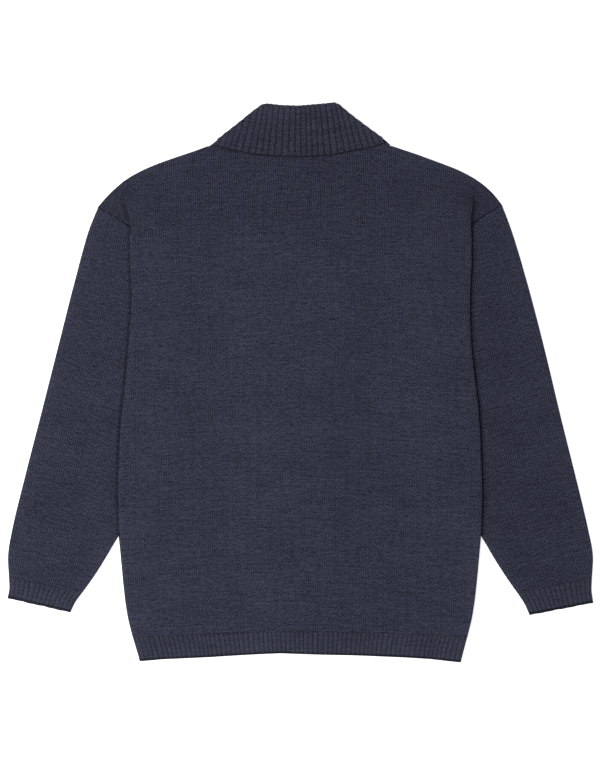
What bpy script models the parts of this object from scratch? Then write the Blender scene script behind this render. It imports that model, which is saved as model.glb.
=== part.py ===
"""A knitted shawl-collar cardigan, laid flat on its front with its back on top.

Lengths in the tables and constants are millimetres. X runs across the garment, to the
photograph's right, Y runs up it towards the collar, and Z is the height above the surface
that it lies on. The origin is under the middle of its outline.
"""
import math

import bmesh
import bpy
import numpy as np

MM = 0.001

# --- cloth -----------------------------------------------------------------
KNIT = 1.8              # thickness of the plain knit
RIB = 2.2               # thickness of the ribbed knit between its ribs
SEAM = 0.3              # gap between two pieces that are sewn together
RIB_RISE = 0.6          # how far a rib stands up
FOLD_RADIUS = 1.25      # middle of the cloth, where a panel turns under itself
HEM_RADIUS = 1.7        # the same at the hem's side edges
SLEEVE_GAP = 0.6        # between the two layers of a sleeve
COLLAR_GAP = 0.7        # between the collar's stand and its fall

# --- heights of the middle of each layer -----------------------------------
FRONT_Z = KNIT / 2
BACK_Z = 3.4
SLEEVE_LIFT = 2.1       # a sleeve's rise where it passes over the front's side
STAND_Z = 3.7

# --- front opening ----------------------------------------------------------
BAND_WIDTH = 36.0
UNDER_BAND_Z = 3.95     # the buttonhole band lies on the button heads
OVER_BAND_Z = 6.5       # the button band lies on the buttonhole band
NECK_POINT_Y = 60.0     # foot of the neck opening
BUTTONS = 5
BUTTON_RADIUS = 10.0
BUTTON_THICKNESS = 2.2
BUTTON_TOP_Y = 40.0
BUTTON_BOTTOM_Y = -352.0

# --- ribs --------------------------------------------------------------------
HEM_RIBS = 70
CUFF_RIBS = 14
COLLAR_RIBS = 26
BAND_RIBS = 5
BACK_COLUMNS = 21

# Half widths of the body at its fold lines and side edges, from hem to shoulder.
BODY_SIDE = {
    "y":     (-385.8, -365.7, -353.2, -340.7, -315.8, -282.5, -249.3, -216.0, -163.3, -91.3,
              -41.4, -8.1, 58.4, 113.9, 174.8, 216.0, 239.0, 251.4, 263.5, 279.1),
    "left":  (222.7, 227.9, 232.4, 236.2, 241.0, 245.1, 248.0, 251.8, 253.8, 252.5,
              248.3, 244.1, 238.6, 234.4, 237.2, 236.7, 238.6, 240.3, 241.8, 244.1),
    "right": (222.9, 227.2, 231.9, 235.8, 240.3, 244.4, 247.6, 250.5, 252.7, 250.7,
              247.9, 243.7, 236.8, 235.4, 238.2, 237.1, 237.9, 238.7, 239.8, 241.0),
}
# The pleat at the back's side. The cloth turns down at the fold line, runs on, turns back,
# and ends in a tail. Up to the armhole seam the tail is the shoulder's outer corner.
PLEAT = {
    "y":       (-386.0, -262.0, -240.0, -226.0, -216.0, -163.0, -91.0, -8.0, 120.0, 175.0,
                195.0, 205.0, 216.0, 227.5, 239.0, 251.4, 263.5, 279.1),
    "turn":    (100.0, 100.0, 110.0, 140.0, 180.0, 180.0, 180.0, 180.0, 180.0, 180.0,
                180.0, 150.0, 100.0, 85.0, 60.0, 22.0, 10.0, 4.0),
    "back":    (0.0, 0.0, 0.0, 0.0, 0.0, 0.0, 0.0, 0.0, 0.0, 0.0,
                0.0, 0.0, 10.0, 80.0, 60.0, 22.0, 10.0, 4.0),
    "run":     (0.6, 0.6, 0.6, 1.0, 2.0, 4.0, 8.0, 12.0, 12.0, 10.0,
                2.0, 0.8, 0.5, 2.0, 2.5, 3.0, 3.0, 3.0),
    "tail":    (0.8, 0.8, 0.8, 1.0, 2.0, 8.0, 20.0, 30.0, 30.0, 24.0,
                5.0, 1.2, 0.6, 0.0, 0.0, 0.0, 0.0, 0.0),
    "heading": (0.0, 0.0, 0.0, 0.0, 0.0, 0.0, 0.0, 0.0, 0.0, 0.0,
                0.0, 10.0, 30.0, 45.0, 45.0, 45.0, 45.0, 45.0),
    "height":  (6.5, 6.5, 6.8, 8.0, 10.1, 10.1, 10.1, 10.1, 10.1, 10.1,
                10.6, 11.0, 10.8, 9.7, 8.0, 5.2, 4.2, 3.5),
    "reach":   (30.0, 30.0, 40.0, 70.0, 90.0, 90.0, 90.0, 90.0, 90.0, 90.0,
                90.0, 85.0, 80.0, 70.0, 60.0, 40.0, 30.0, 30.0),
}
# Rows of the back panel, by their height at the side fold.
BACK_ROWS = (-353.2, -325.0, -295.0, -262.0, -240.0, -226.0, -214.0, -190.0, -150.0, -110.0,
             -70.0, -30.0, 10.0, 50.0, 90.0, 130.0, 160.0, 180.0, 195.0, 205.0, 216.0,
             227.5, 239.0, 251.4, 263.5, 279.1)

SHOULDER = {
    "x": (-244.1, -219.2, -185.9, -152.7, -127.7, -118.0, -60.0, 0.0,
          60.0, 118.0, 125.2, 155.0, 188.3, 221.6, 241.0),
    "y": (279.1, 293.6, 307.2, 318.2, 327.3, 329.0, 323.5, 321.5,
          323.5, 329.0, 327.9, 318.2, 306.2, 293.1, 282.7),
}
RIB_SEAM = {"x": (-235.0, -120.0, 0.0, 120.0, 235.0), "y": (-353.2, -348.0, -345.0, -348.0, -353.2)}
HEM = {
    "x": (-222.7, -194.2, -127.7, -61.2, -27.9, 22.0, 71.9, 146.7, 180.0, 222.9),
    "y": (-385.8, -383.4, -380.4, -376.2, -374.6, -376.4, -377.6, -380.8, -382.9, -387.4),
}
ARMHOLE_TIP = {"left": (280.5, 242.2), "right": (279.8, 246.1)}
ARMHOLE_CROSSING = {"left": (236.7, 216.0), "right": (237.6, 219.8)}
# The tucked-in part of each armhole, and the sleeve's outline from its cuff.
ARMHOLE_HIDDEN = {"x": (213.6, 202.0, 198.0, 194.0, 172.0), "y": (199.8, 166.5, 120.0, 70.0, 10.0)}
SLEEVE_OUTER = {
    "y":     (-271.4, -245.1, -207.7, -149.5, -49.7, 50.1, 149.9, 216.4),
    "left":  (403.9, 405.5, 400.1, 386.3, 360.8, 335.5, 310.0, 291.0),
    "right": (403.9, 405.6, 399.4, 385.8, 361.0, 337.1, 310.7, 290.6),
}
SLEEVE_INNER = {
    "y":     (-291.2, -265.9, -241.0, -216.0, -177.2, -128.7, -66.3, 10.0),
    "left":  (302.2, 283.9, 268.5, 253.7, 230.3, 208.1, 190.0, 172.0),
    "right": (301.0, 283.0, 267.2, 252.7, 230.0, 208.1, 190.0, 172.0),
}
CUFF = {
    "edge":  ("outer seam", "outer end", "inner end", "inner seam"),
    "left":  ((403.9, -271.8), (404.6, -299.2), (318.7, -319.4), (302.2, -291.6)),
    "right": ((403.9, -272.2), (406.0, -304.6), (317.4, -321.8), (301.0, -291.8)),
}
# The collar's outline above, where it folds over, and the free edge of its fall below.
COLLAR_TOP = {
    "x": (-126.5, -113.2, -87.7, -67.4, -52.9, -44.6, -27.9, -3.0,
          30.3, 46.9, 53.3, 66.2, 76.7, 98.9, 121.3, 126.0),
    "y": (327.4, 338.0, 357.8, 374.4, 385.1, 385.9, 383.9, 383.0,
          385.8, 387.5, 385.5, 374.4, 366.1, 349.5, 333.7, 328.5),
}
COLLAR_FREE = {
    "x": (-122.2, -115.2, -94.6, -63.7, -41.5, 0.0, 43.6, 77.4, 106.5, 121.1),
    "y": (331.5, 326.1, 321.2, 315.9, 313.7, 312.1, 314.8, 322.0, 326.9, 332.8),
}
COLLAR_HALF = 118.0
COLLAR_FAN = 0.19       # how much closer the ribs stand at the fold than at the free edge
# The front bands widen into the shawl collar above the foot of the neck opening.
SHAWL = {
    "y":    (-400.0, 30.0, 60.0, 95.0, 130.0, 165.0, 200.0, 240.0, 280.0, 326.2),
    "seam": (18.0, 18.0, 19.5, 25.0, 36.0, 50.5, 66.0, 84.5, 103.5, 124.8),
    "free": (-18.0, -18.0, -17.0, -13.0, -6.0, 2.5, 12.0, 25.0, 39.0, 54.0),
}
SEAM_ROWS = (-346.0, -270.0, -190.0, -110.0, -40.0, 30.0, 60.0, 95.0, 130.0, 165.0, 200.0,
             220.0, 240.0, 260.0, 280.0, 303.0, 326.2)
SHAWL_OUTER = (124.8, 326.2)
SHAWL_INNER = (54.0, 381.5)

COLOURS = {
    "knit": (0.034, 0.037, 0.058, 1.0),
    "rib": (0.036, 0.039, 0.060, 1.0),
    "button": (0.020, 0.022, 0.035, 1.0),
}


# --- small maths --------------------------------------------------------------
def smoothstep(low, high, value):
    """Ease from 0 to 1 as the value goes from low to high."""
    share = np.clip((np.asarray(value, dtype=float) - low) / (high - low), 0.0, 1.0)
    return share * share * (3.0 - 2.0 * share)


def read(table, value, column, key="y"):
    """Linear reading of one column of a table."""
    return float(np.interp(value, table[key], table[column]))


def spline(points):
    """A smooth curve through points, as a function of the share of its length."""
    points = np.asarray(points, dtype=float)
    steps = np.linalg.norm(np.diff(points, axis=0), axis=1)
    knots = np.concatenate([[0.0], np.cumsum(steps)])
    slopes = np.gradient(points, knots, axis=0)

    def at(share):
        length = share * knots[-1]
        k = int(np.clip(np.searchsorted(knots, length) - 1, 0, len(steps) - 1))
        h = knots[k + 1] - knots[k]
        s = (length - knots[k]) / h
        return ((1 + 2 * s) * (1 - s) ** 2 * points[k]
                + s * (1 - s) ** 2 * h * slopes[k]
                + s * s * (3 - 2 * s) * points[k + 1]
                + s * s * (s - 1) * h * slopes[k + 1])
    return at


def coons(bottom, top, start, end, shares_u, shares_v):
    """A grid of plan points between four curves that meet at their ends."""
    grid = np.zeros((len(shares_v), len(shares_u), 2))
    for j, v in enumerate(shares_v):
        for i, u in enumerate(shares_u):
            sides = (1 - u) * start(v) + u * end(v)
            rails = (1 - v) * bottom(u) + v * top(u)
            corners = ((1 - v) * ((1 - u) * bottom(0.0) + u * bottom(1.0))
                       + v * ((1 - u) * top(0.0) + u * top(1.0)))
            grid[j, i] = sides + rails - corners
    return grid


# --- cloth walls ---------------------------------------------------------------
def along(points, axis, closed):
    """Average direction at each point of a grid, and the cosine of its half turn."""
    if closed:
        before = points - np.roll(points, 1, axis=axis)
        after = np.roll(points, -1, axis=axis) - points
    else:
        steps = np.diff(points, axis=axis)
        first = np.take(steps, [0], axis=axis)
        last = np.take(steps, [-1], axis=axis)
        before = np.concatenate([first, steps], axis=axis)
        after = np.concatenate([steps, last], axis=axis)
    before = before / np.linalg.norm(before, axis=2, keepdims=True)
    after = after / np.linalg.norm(after, axis=2, keepdims=True)
    middle = before + after
    middle = middle / np.linalg.norm(middle, axis=2, keepdims=True)
    cosine = np.clip((middle * after).sum(axis=2, keepdims=True), 0.6, 1.0)
    return middle, cosine


def skins(centre, thickness, rise, closed, upright):
    """Outer and inner points of a wall round a grid of its middle points."""
    across, turn_across = along(centre, 1, closed)
    down, turn_down = along(centre, 0, False)
    if upright:
        down = np.array([0.0, 1.0, 0.0])
        turn_down = 1.0
    normal = np.cross(across, down)
    normal = normal / np.linalg.norm(normal, axis=2, keepdims=True)
    reach = normal / (turn_across * turn_down)
    outer = centre + reach * thickness / 2 + normal * rise[:, :, None]
    inner = centre - reach * thickness / 2
    return outer, inner


def material(kind):
    """Plain surface of one kind of cloth or trim."""
    found = bpy.data.materials.get(kind)
    if found:
        return found
    made = bpy.data.materials.new(kind)
    made.use_nodes = True
    shader = made.node_tree.nodes["Principled BSDF"]
    shader.inputs["Base Color"].default_value = COLOURS[kind]
    shader.inputs["Roughness"].default_value = 0.35 if kind == "button" else 0.95
    shader.inputs["Metallic"].default_value = 0.0
    return made


def add_object(name, bm, kind, angle):
    """Turn a finished bmesh into a named object."""
    bmesh.ops.recalc_face_normals(bm, faces=bm.faces[:])
    mesh = bpy.data.meshes.new(name)
    bm.to_mesh(mesh)
    bm.free()
    mesh.shade_smooth()
    mesh.set_sharp_from_angle(angle=math.radians(angle))
    mesh.materials.append(material(kind))
    made = bpy.data.objects.new(name, mesh)
    bpy.context.scene.collection.objects.link(made)
    return made


def cloth(name, outer, inner, kind, closed=False):
    """One piece of cloth: a grid laid on its inner points, extruded to its outer points."""
    rows, columns = inner.shape[:2]
    bm = bmesh.new()
    width = columns if closed else columns - 1
    bmesh.ops.create_grid(bm, x_segments=width, y_segments=rows - 1, size=1.0)
    number = bm.verts.layers.int.new("number")
    ends = {}
    for vert in bm.verts:
        i = round((vert.co.x + 1) / 2 * width)
        j = round((vert.co.y + 1) / 2 * (rows - 1))
        ends[(j, i)] = vert
        vert[number] = j * columns + i % columns
        vert.co = inner[j, i % columns] * MM
    if closed:
        bmesh.ops.weld_verts(bm, targetmap={ends[(j, columns)]: ends[(j, 0)] for j in range(rows)})
    grown = bmesh.ops.extrude_face_region(bm, geom=bm.faces[:])
    for vert in grown["geom"]:
        if isinstance(vert, bmesh.types.BMVert):
            j, i = divmod(vert[number], columns)
            vert.co = outer[j, i] * MM
    return add_object(name, bm, kind, 50.0)


def wall(name, centre, thickness, kind, rise=None, closed=False, upright=False):
    """A wall of even thickness round its middle points, with ribs in its outer points.

    An upright wall has its thickness measured square to Y, where its rows turn under.
    """
    if rise is None:
        rise = np.zeros(centre.shape[:2])
    outer, inner = skins(centre, thickness, rise, closed, upright)
    return cloth(name, outer, inner, kind, closed)


def slab(name, plan, bottom, thickness, kind, rise=None):
    """A panel that lies flat: the same plan below and above."""
    lower = np.concatenate([plan, bottom[:, :, None]], axis=2)
    upper = lower + np.array([0.0, 0.0, thickness])
    if rise is not None:
        lower = lower - rise[:, :, None] * np.array([0.0, 0.0, 1.0])
    return cloth(name, upper, lower, kind)


# --- the body's outline ---------------------------------------------------------
def side_width(side, y):
    """Half width of the body's outline at a height."""
    return read(BODY_SIDE, y, side)


def top_lift(side, y):
    """The right shoulder lies a little higher than the left one."""
    return float(3.6 * smoothstep(150.0, 215.0, y)) if side == "right" else 0.0


def sign(side):
    return -1.0 if side == "left" else 1.0


def over_front(side, x, y):
    """1 where a sleeve lies on the front, 0 where it lies on the surface below."""
    outside = abs(x) - side_width(side, y)
    return float((1.0 - smoothstep(17.0, 46.0, outside)) * (1.0 - smoothstep(223.0, 250.0, y)))


def band_height(y, over):
    """Middle of a band: raised on the buttons, and down on the surface at the neck."""
    low = RIB / 2
    if over:
        return float(np.interp(y, (70.0, 160.0, 235.0), (OVER_BAND_Z, OVER_BAND_Z - 0.9, low)))
    return float(np.interp(y, (70.0, 160.0, 215.0), (UNDER_BAND_Z, UNDER_BAND_Z - 0.9, low)))


def centre_lift(x, y):
    """How far the front bands hold the back panel up, along its middle."""
    tall = band_height(y, True) - RIB / 2 + 0.2
    if tall < 0.25:
        return 0.0
    edge = seam_width(y) + 8.0
    return float(tall * (1.0 - smoothstep(edge, edge + 80.0, abs(x))))


# --- back panel and its hem ------------------------------------------------------
def pleat_path(turn, back, run, tail, radius):
    """Steps out from the fold line and down, through both turns."""
    path = []
    out, down, heading = 0.0, 0.0, 0.0

    def go(length, change, steps):
        nonlocal out, down, heading
        for _ in range(steps):
            heading += change / steps / 2
            out += length / steps * math.cos(heading)
            down += length / steps * math.sin(heading)
            heading += change / steps / 2
            path.append((out, down))
    turn = math.radians(turn)
    back = math.radians(back)
    go(max(radius * turn, 0.8), turn, 4)
    go(run, 0.0, 1)
    go(max(radius * back, 0.8), -back, 2)
    go(tail, 0.0, 3)
    return path


def corner_length(side, fold, direction):
    """Distance from the fold line to the visible armhole seam."""
    tip = np.array(ARMHOLE_TIP[side])
    crossing = np.array(ARMHOLE_CROSSING[side])
    seam = crossing - tip
    lead = tip - fold
    cross = direction[0] * seam[1] - direction[1] * seam[0]
    return (lead[0] * seam[1] - lead[1] * seam[0]) / cross


def side_end(side, y, fold_height, thickness, radius):
    """The turned-under end of one row of the back, from its fold line outwards."""
    values = {name: read(PLEAT, y, name) for name in PLEAT}
    bulge = radius + thickness / 2
    inset = bulge * float(smoothstep(60.0, 95.0, values["turn"]))
    row_y = y + top_lift(side, y)
    fold = np.array([side_width(side, y) - inset, row_y])
    slant = math.radians(values["heading"])
    direction = np.array([math.cos(slant), -math.sin(slant)])
    tail = values["tail"]
    bow = 0.0
    if y > 220.0:
        probe = pleat_path(values["turn"], values["back"], values["run"], 0.001, radius)[-1][0]
        tail = corner_length(side, fold, direction) - probe
        bow = 1.6 * (y - 220.0) / 59.1
    path = pleat_path(values["turn"], values["back"], values["run"], tail, radius)
    reach = path[-1][0]
    points = []
    for out, down in path:
        share = out / reach if y > 220.0 else 0.0
        rise = bow * math.sin(math.pi * min(max(share, 0.0), 1.0))
        place = fold + direction * out + np.array([-direction[1], direction[0]]) * rise
        points.append((sign(side) * place[0], place[1], fold_height - down))
    return (sign(side) * fold[0], fold[1]), points


def back_row(y, columns, edge_shape, thickness=KNIT, radius=FOLD_RADIUS):
    """Middle points of one row, from the left end round both folds to the right end."""
    height = read(PLEAT, y, "height")
    left_fold, left_end = side_end("left", y, height, thickness, radius)
    right_fold, right_end = side_end("right", y, height, thickness, radius)
    plateau = read(PLEAT, y, "run") + read(PLEAT, y, "tail") + 6.0
    reach = read(PLEAT, y, "reach")
    row = [left_end[k] for k in range(len(left_end) - 1, -1, -1)]
    bends = (edge_shape(left_fold[0], y), edge_shape(right_fold[0], y))
    for share in np.linspace(0.0, 1.0, columns):
        x = left_fold[0] + share * (right_fold[0] - left_fold[0])
        level = left_fold[1] + share * (right_fold[1] - left_fold[1])
        inside = min(x - left_fold[0], right_fold[0] - x)
        near = float(1.0 - smoothstep(plateau, plateau + reach, inside))
        z = BACK_Z + (height - BACK_Z) * near + centre_lift(x, y)
        bend = edge_shape(x, y) - bends[0] - share * (bends[1] - bends[0])
        row.append((x, level + bend, z))
    row.extend(right_end)
    return row


def back_shape(x, y):
    """How a course of the back bends: with the shoulders above, with the hem below."""
    share = (y - BACK_ROWS[0]) / (BACK_ROWS[-1] - BACK_ROWS[0])
    ends = (SHOULDER["y"][0], SHOULDER["y"][-1])
    chord = np.interp(x, (SHOULDER["x"][0], SHOULDER["x"][-1]), ends)
    above = np.interp(x, SHOULDER["x"], SHOULDER["y"]) - chord
    below = np.interp(x, RIB_SEAM["x"], RIB_SEAM["y"]) - RIB_SEAM["y"][0]
    return float(above * share ** 4 + below * (1.0 - share) ** 4)


def build_back():
    rows = [back_row(y, BACK_COLUMNS, back_shape) for y in BACK_ROWS]
    wall("back_panel", np.array(rows), KNIT, "knit", upright=True)


def build_back_hem():
    """The ribbed band under the back, one rib to every second column."""
    columns = 2 * HEM_RIBS + 1
    shares = (0.0, 0.5, 1.0)
    rows = []
    for share in shares:
        y = -385.4 + share * (385.4 - 353.2 - SEAM)

        def shape(x, _y, share=share):
            low = np.interp(x, HEM["x"], HEM["y"]) + 385.8
            high = np.interp(x, RIB_SEAM["x"], RIB_SEAM["y"]) + 353.2
            return float(low + share * (high - low))
        rows.append(back_row(y, columns, shape, RIB, HEM_RADIUS))
    centre = np.array(rows)
    centre[:, :, 2] += 0.2
    ends = (centre.shape[1] - columns) // 2
    rise = np.zeros(centre.shape[:2])
    rise[:, ends + 1:-ends - 1:2] = RIB_RISE
    wall("back_hem_rib", centre, RIB, "rib", rise=rise, upright=True)


# --- fronts ------------------------------------------------------------------------
def seam_width(y):
    """Distance from the middle to the seam between a front and its band."""
    return float(np.interp(y, SHAWL["y"], SHAWL["seam"]))


def free_width(y):
    """Distance from the middle to a band's free edge, below 0 where it laps over."""
    return float(np.interp(y, SHAWL["y"], SHAWL["free"]))


def build_band(side):
    """One ribbed strip: a straight band below, and half of the shawl collar's front above."""
    over = side == "right"
    s = sign(side)
    foot = float(np.interp(s * BAND_WIDTH / 2, HEM["x"], HEM["y"]))
    heights = (foot,) + SEAM_ROWS
    plan = np.zeros((len(heights), 2 * BAND_RIBS + 1, 2))
    for j, y in enumerate(heights):
        share = float(smoothstep(NECK_POINT_Y, SEAM_ROWS[-1], y))
        seam = np.array([s * seam_width(y), y])
        inner_y = y + share * (SHAWL_INNER[1] - SHAWL_OUTER[1])
        free = np.array([s * free_width(y), inner_y])
        start, end = (seam, free) if side == "left" else (free, seam)
        for i in range(plan.shape[1]):
            plan[j, i] = start + (end - start) * i / (plan.shape[1] - 1)
    low = np.zeros(plan.shape[:2])
    rise = np.zeros(plan.shape[:2])
    for j in range(plan.shape[0]):
        for i in range(plan.shape[1]):
            low[j, i] = band_height(plan[j, i, 1], over) - RIB / 2
            lifted = min(low[j, i] / 2.0, 1.0)
            rise[j, i] = 0.35 * lifted * lifted if i % 2 else 0.0
    name = "button_band" if over else "buttonhole_band"
    if over:
        rise *= 0.5
    slab(name, plan, low, RIB - 0.2, "rib", rise=rise)


def front_bottom(side, plan, trim):
    """Underside of a front panel: flat, and lifted only beside its band."""
    low = np.zeros(plan.shape[:2])
    for j in range(plan.shape[0]):
        for i in range(plan.shape[1]):
            x, y = plan[j, i]
            away = abs(x) - seam_width(y)
            lift = band_height(y, side == "right") - RIB / 2 + trim
            low[j, i] = max(lift, 0.0) * float(1.0 - smoothstep(0.0, 55.0, away))
    return low


def build_front(side):
    """A front panel, out to its shoulder tip and down to the rib seam."""
    s = sign(side)
    tip = ARMHOLE_TIP[side]
    crossing = ARMHOLE_CROSSING[side]
    heights = (-353.2, -315.8, -249.3, -216.0, -163.3, -91.3, -8.1, 58.4, 113.9, 174.8, 205.0)
    outside = [(s * side_width(side, y), y) for y in heights]
    outside.append((s * (crossing[0] + 1.0), crossing[1] + 1.5))
    outside.append((s * 0.5 * (crossing[0] + tip[0]), 0.5 * (crossing[1] + tip[1])))
    outside.append((s * tip[0], tip[1]))
    inside = [np.array([s * (seam_width(y) + SEAM), y]) for y in SEAM_ROWS]
    neck = tuple(inside[-1])
    outline = [(s * abs(x), y) for x, y in zip(SHOULDER["x"], SHOULDER["y"])
               if x * s > abs(neck[0]) + 8.0]
    outline.sort(key=lambda point: -abs(point[0]))
    top = spline([(s * tip[0], tip[1]), (s * 261.0, tip[1] + 22.0)] + outline + [neck])
    first = spline(outside)
    shares_v = np.linspace(0.0, 1.0, len(SEAM_ROWS))

    def last(v):
        return inside[round(v * (len(SEAM_ROWS) - 1))]

    def bottom(u):
        x = (1 - u) * outside[0][0] + u * inside[0][0]
        share = (1 - u) * outside[0][1] + u * inside[0][1]
        return np.array([x, share])
    plan = coons(bottom, top, first, last, np.linspace(0.0, 1.0, 10), shares_v)
    low = front_bottom(side, plan, 0.2)
    if side == "right":
        plan, low = plan[:, ::-1], low[:, ::-1]
    slab("front_panel_" + side, plan, low, KNIT, "knit")


def build_front_hem(side):
    s = sign(side)
    shares_v = (0.0, 1.0)
    shares_u = np.linspace(0.0, 1.0, 10)
    plan = np.zeros((2, len(shares_u), 2))
    for j, v in enumerate(shares_v):
        edge = side_width(side, -385.8 + v * 32.3)
        for i, u in enumerate(shares_u):
            x = s * (edge + u * (BAND_WIDTH / 2 + SEAM - edge))
            low = np.interp(x, HEM["x"], HEM["y"])
            high = -353.2 + u * (353.2 + SEAM_ROWS[0]) - SEAM
            plan[j, i] = (x, low + v * (high - low))
    low = front_bottom(side, plan, 0.0)
    if side == "right":
        plan, low = plan[:, ::-1], low[:, ::-1]
    slab("front_hem_rib_" + side, plan, low, RIB, "rib")


def build_buttons():
    """Plain round buttons on the button band, heads down, through the buttonhole band."""
    for k in range(BUTTONS):
        y = BUTTON_TOP_Y + (BUTTON_BOTTOM_Y - BUTTON_TOP_Y) * k / (BUTTONS - 1)
        bm = bmesh.new()
        bmesh.ops.create_cone(bm, cap_ends=True, segments=16, radius1=BUTTON_RADIUS * MM,
                              radius2=BUTTON_RADIUS * MM, depth=BUTTON_THICKNESS * MM)
        rims = [e for e in bm.edges if max(v.co.z for v in e.verts) < 0.0]
        bmesh.ops.bevel(bm, geom=rims, offset=0.5 * MM, segments=1, affect="EDGES")
        made = add_object("button_" + str(k + 1), bm, "button", 35.0)
        made.location = (0.0, y * MM, BUTTON_THICKNESS / 2 * MM)


# --- sleeves and cuffs -----------------------------------------------------------------
def square_to(edge, j, outward):
    """Direction across an edge at one of its points, on the outward side."""
    step = edge[min(j + 1, len(edge) - 1)] - edge[max(j - 1, 0)]
    normal = np.array([-step[1], step[0]]) / np.linalg.norm(step)
    return normal if normal @ outward > 0 else -normal


def tube(plan, lower, thickness, gap, ribs):
    """A flattened tube: an upper and a lower layer that turn into each other at the edges."""
    rows, columns = plan.shape[:2]
    radius = (thickness + gap) / 2
    rings = []
    for j in range(rows):
        ring = []
        first, last = plan[j, 0], plan[j, -1]
        out_first = square_to(plan[:, 0], j, first - plan[j, 1])
        out_last = square_to(plan[:, -1], j, last - plan[j, -2])
        for i in range(columns):
            ring.append((*plan[j, i], lower[j, i] + 2 * radius))
        for k in (1, 2, 3):
            angle = math.pi * k / 4
            place = last + out_last * radius * math.sin(angle)
            ring.append((*place, lower[j, -1] + radius * (1 + math.cos(angle))))
        for i in range(columns - 1, -1, -1):
            ring.append((*plan[j, i], lower[j, i]))
        for k in (3, 2, 1):
            angle = math.pi * k / 4
            place = first + out_first * radius * math.sin(angle)
            ring.append((*place, lower[j, 0] + radius * (1 + math.cos(angle))))
        rings.append(ring)
    centre = np.array(rings)
    rise = np.zeros(centre.shape[:2])
    if ribs:
        rise[:, 1:columns - 1:2] = RIB_RISE
    return centre, rise


def build_sleeve(side):
    s = sign(side)
    inset = (KNIT + SLEEVE_GAP) / 2 + KNIT / 2
    tip = np.array(ARMHOLE_TIP[side])
    crossing = np.array(ARMHOLE_CROSSING[side])
    seam = (crossing - tip) / np.linalg.norm(crossing - tip)
    away = np.array([seam[1], -seam[0]]) * (SEAM + 0.15)
    if away[1] > 0:
        away = -away
    outer = [(x - inset, y) for x, y in zip(SLEEVE_OUTER[side], SLEEVE_OUTER["y"])]
    outer_seam, _, _, inner_seam = [np.array(p) for p in CUFF[side]]
    line = (inner_seam - outer_seam) / np.linalg.norm(inner_seam - outer_seam)
    lift = np.array([-line[1], line[0]]) * (SEAM + 0.1)
    lift = lift if lift[1] > 0 else -lift
    outer[0] = tuple(outer_seam + line * inset + lift)
    corner = tip + away + seam * inset
    outer.append(tuple(corner))
    inner = [(x + inset, y) for x, y in zip(SLEEVE_INNER[side], SLEEVE_INNER["y"])]
    inner[0] = tuple(inner_seam - line * inset + lift)
    top = [tuple(corner), tuple(0.5 * (tip + crossing) + away), tuple(crossing + away)]
    top += [(x, y) for x, y in zip(ARMHOLE_HIDDEN["x"], ARMHOLE_HIDDEN["y"])]
    top[-1] = inner[-1]
    bottom = [outer[0], inner[0]]
    curves = [spline([(s * x, y) for x, y in row]) for row in (bottom, top, outer, inner)]
    shares_v = np.linspace(0.0, 1.0, 17)
    plan = coons(curves[0], curves[1], curves[2], curves[3], np.linspace(0.0, 1.0, 8), shares_v)
    lower = np.zeros(plan.shape[:2])
    for j in range(plan.shape[0]):
        for i in range(plan.shape[1]):
            x, y = plan[j, i]
            lower[j, i] = FRONT_Z + SLEEVE_LIFT * over_front(side, x, y)
    centre, _ = tube(plan, lower, KNIT, SLEEVE_GAP, False)
    if side == "right":
        centre = centre[::-1]
    wall("sleeve_" + side, centre, KNIT, "knit", closed=True)


def build_cuff(side):
    s = sign(side)
    gap = SLEEVE_GAP
    inset = (RIB + gap) / 2 + RIB / 2
    outer_seam, outer_end, inner_end, inner_seam = [np.array(p) for p in CUFF[side]]
    line = (inner_end - outer_end) / np.linalg.norm(inner_end - outer_end)
    columns = 2 * CUFF_RIBS + 1
    plan = np.zeros((3, columns, 2))
    for j, v in enumerate((0.0, 0.5, 1.0)):
        waist = 1.3 * math.sin(math.pi * v)
        first = outer_end + v * (outer_seam - outer_end) + line * (inset + waist)
        last = inner_end + v * (inner_seam - inner_end) - line * (inset + waist)
        for i in range(columns):
            place = first + (last - first) * i / (columns - 1)
            plan[j, i] = (s * place[0], place[1])
    lower = np.full(plan.shape[:2], RIB / 2)
    centre, rise = tube(plan, lower, RIB, gap, True)
    if side == "right":
        centre, rise = centre[::-1], rise[::-1]
    wall("cuff_" + side, centre, RIB, "rib", rise=rise, closed=True)


# --- collar -------------------------------------------------------------------------------
def collar_column(low_x):
    """Where one rib line starts on the free edge and ends on the folded outline."""
    free_y = float(np.interp(low_x, COLLAR_FREE["x"], COLLAR_FREE["y"]))
    low, high = free_y, 388.0
    for _ in range(40):
        y = 0.5 * (low + high)
        x = low_x * (1.0 - COLLAR_FAN * (y - 312.0) / 73.0)
        if float(np.interp(x, COLLAR_TOP["x"], COLLAR_TOP["y"])) > y:
            low = y
        else:
            high = y
    x0 = low_x * (1.0 - COLLAR_FAN * (free_y - 312.0) / 73.0)
    return np.array([x0, free_y]), np.array([x, y])


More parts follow.
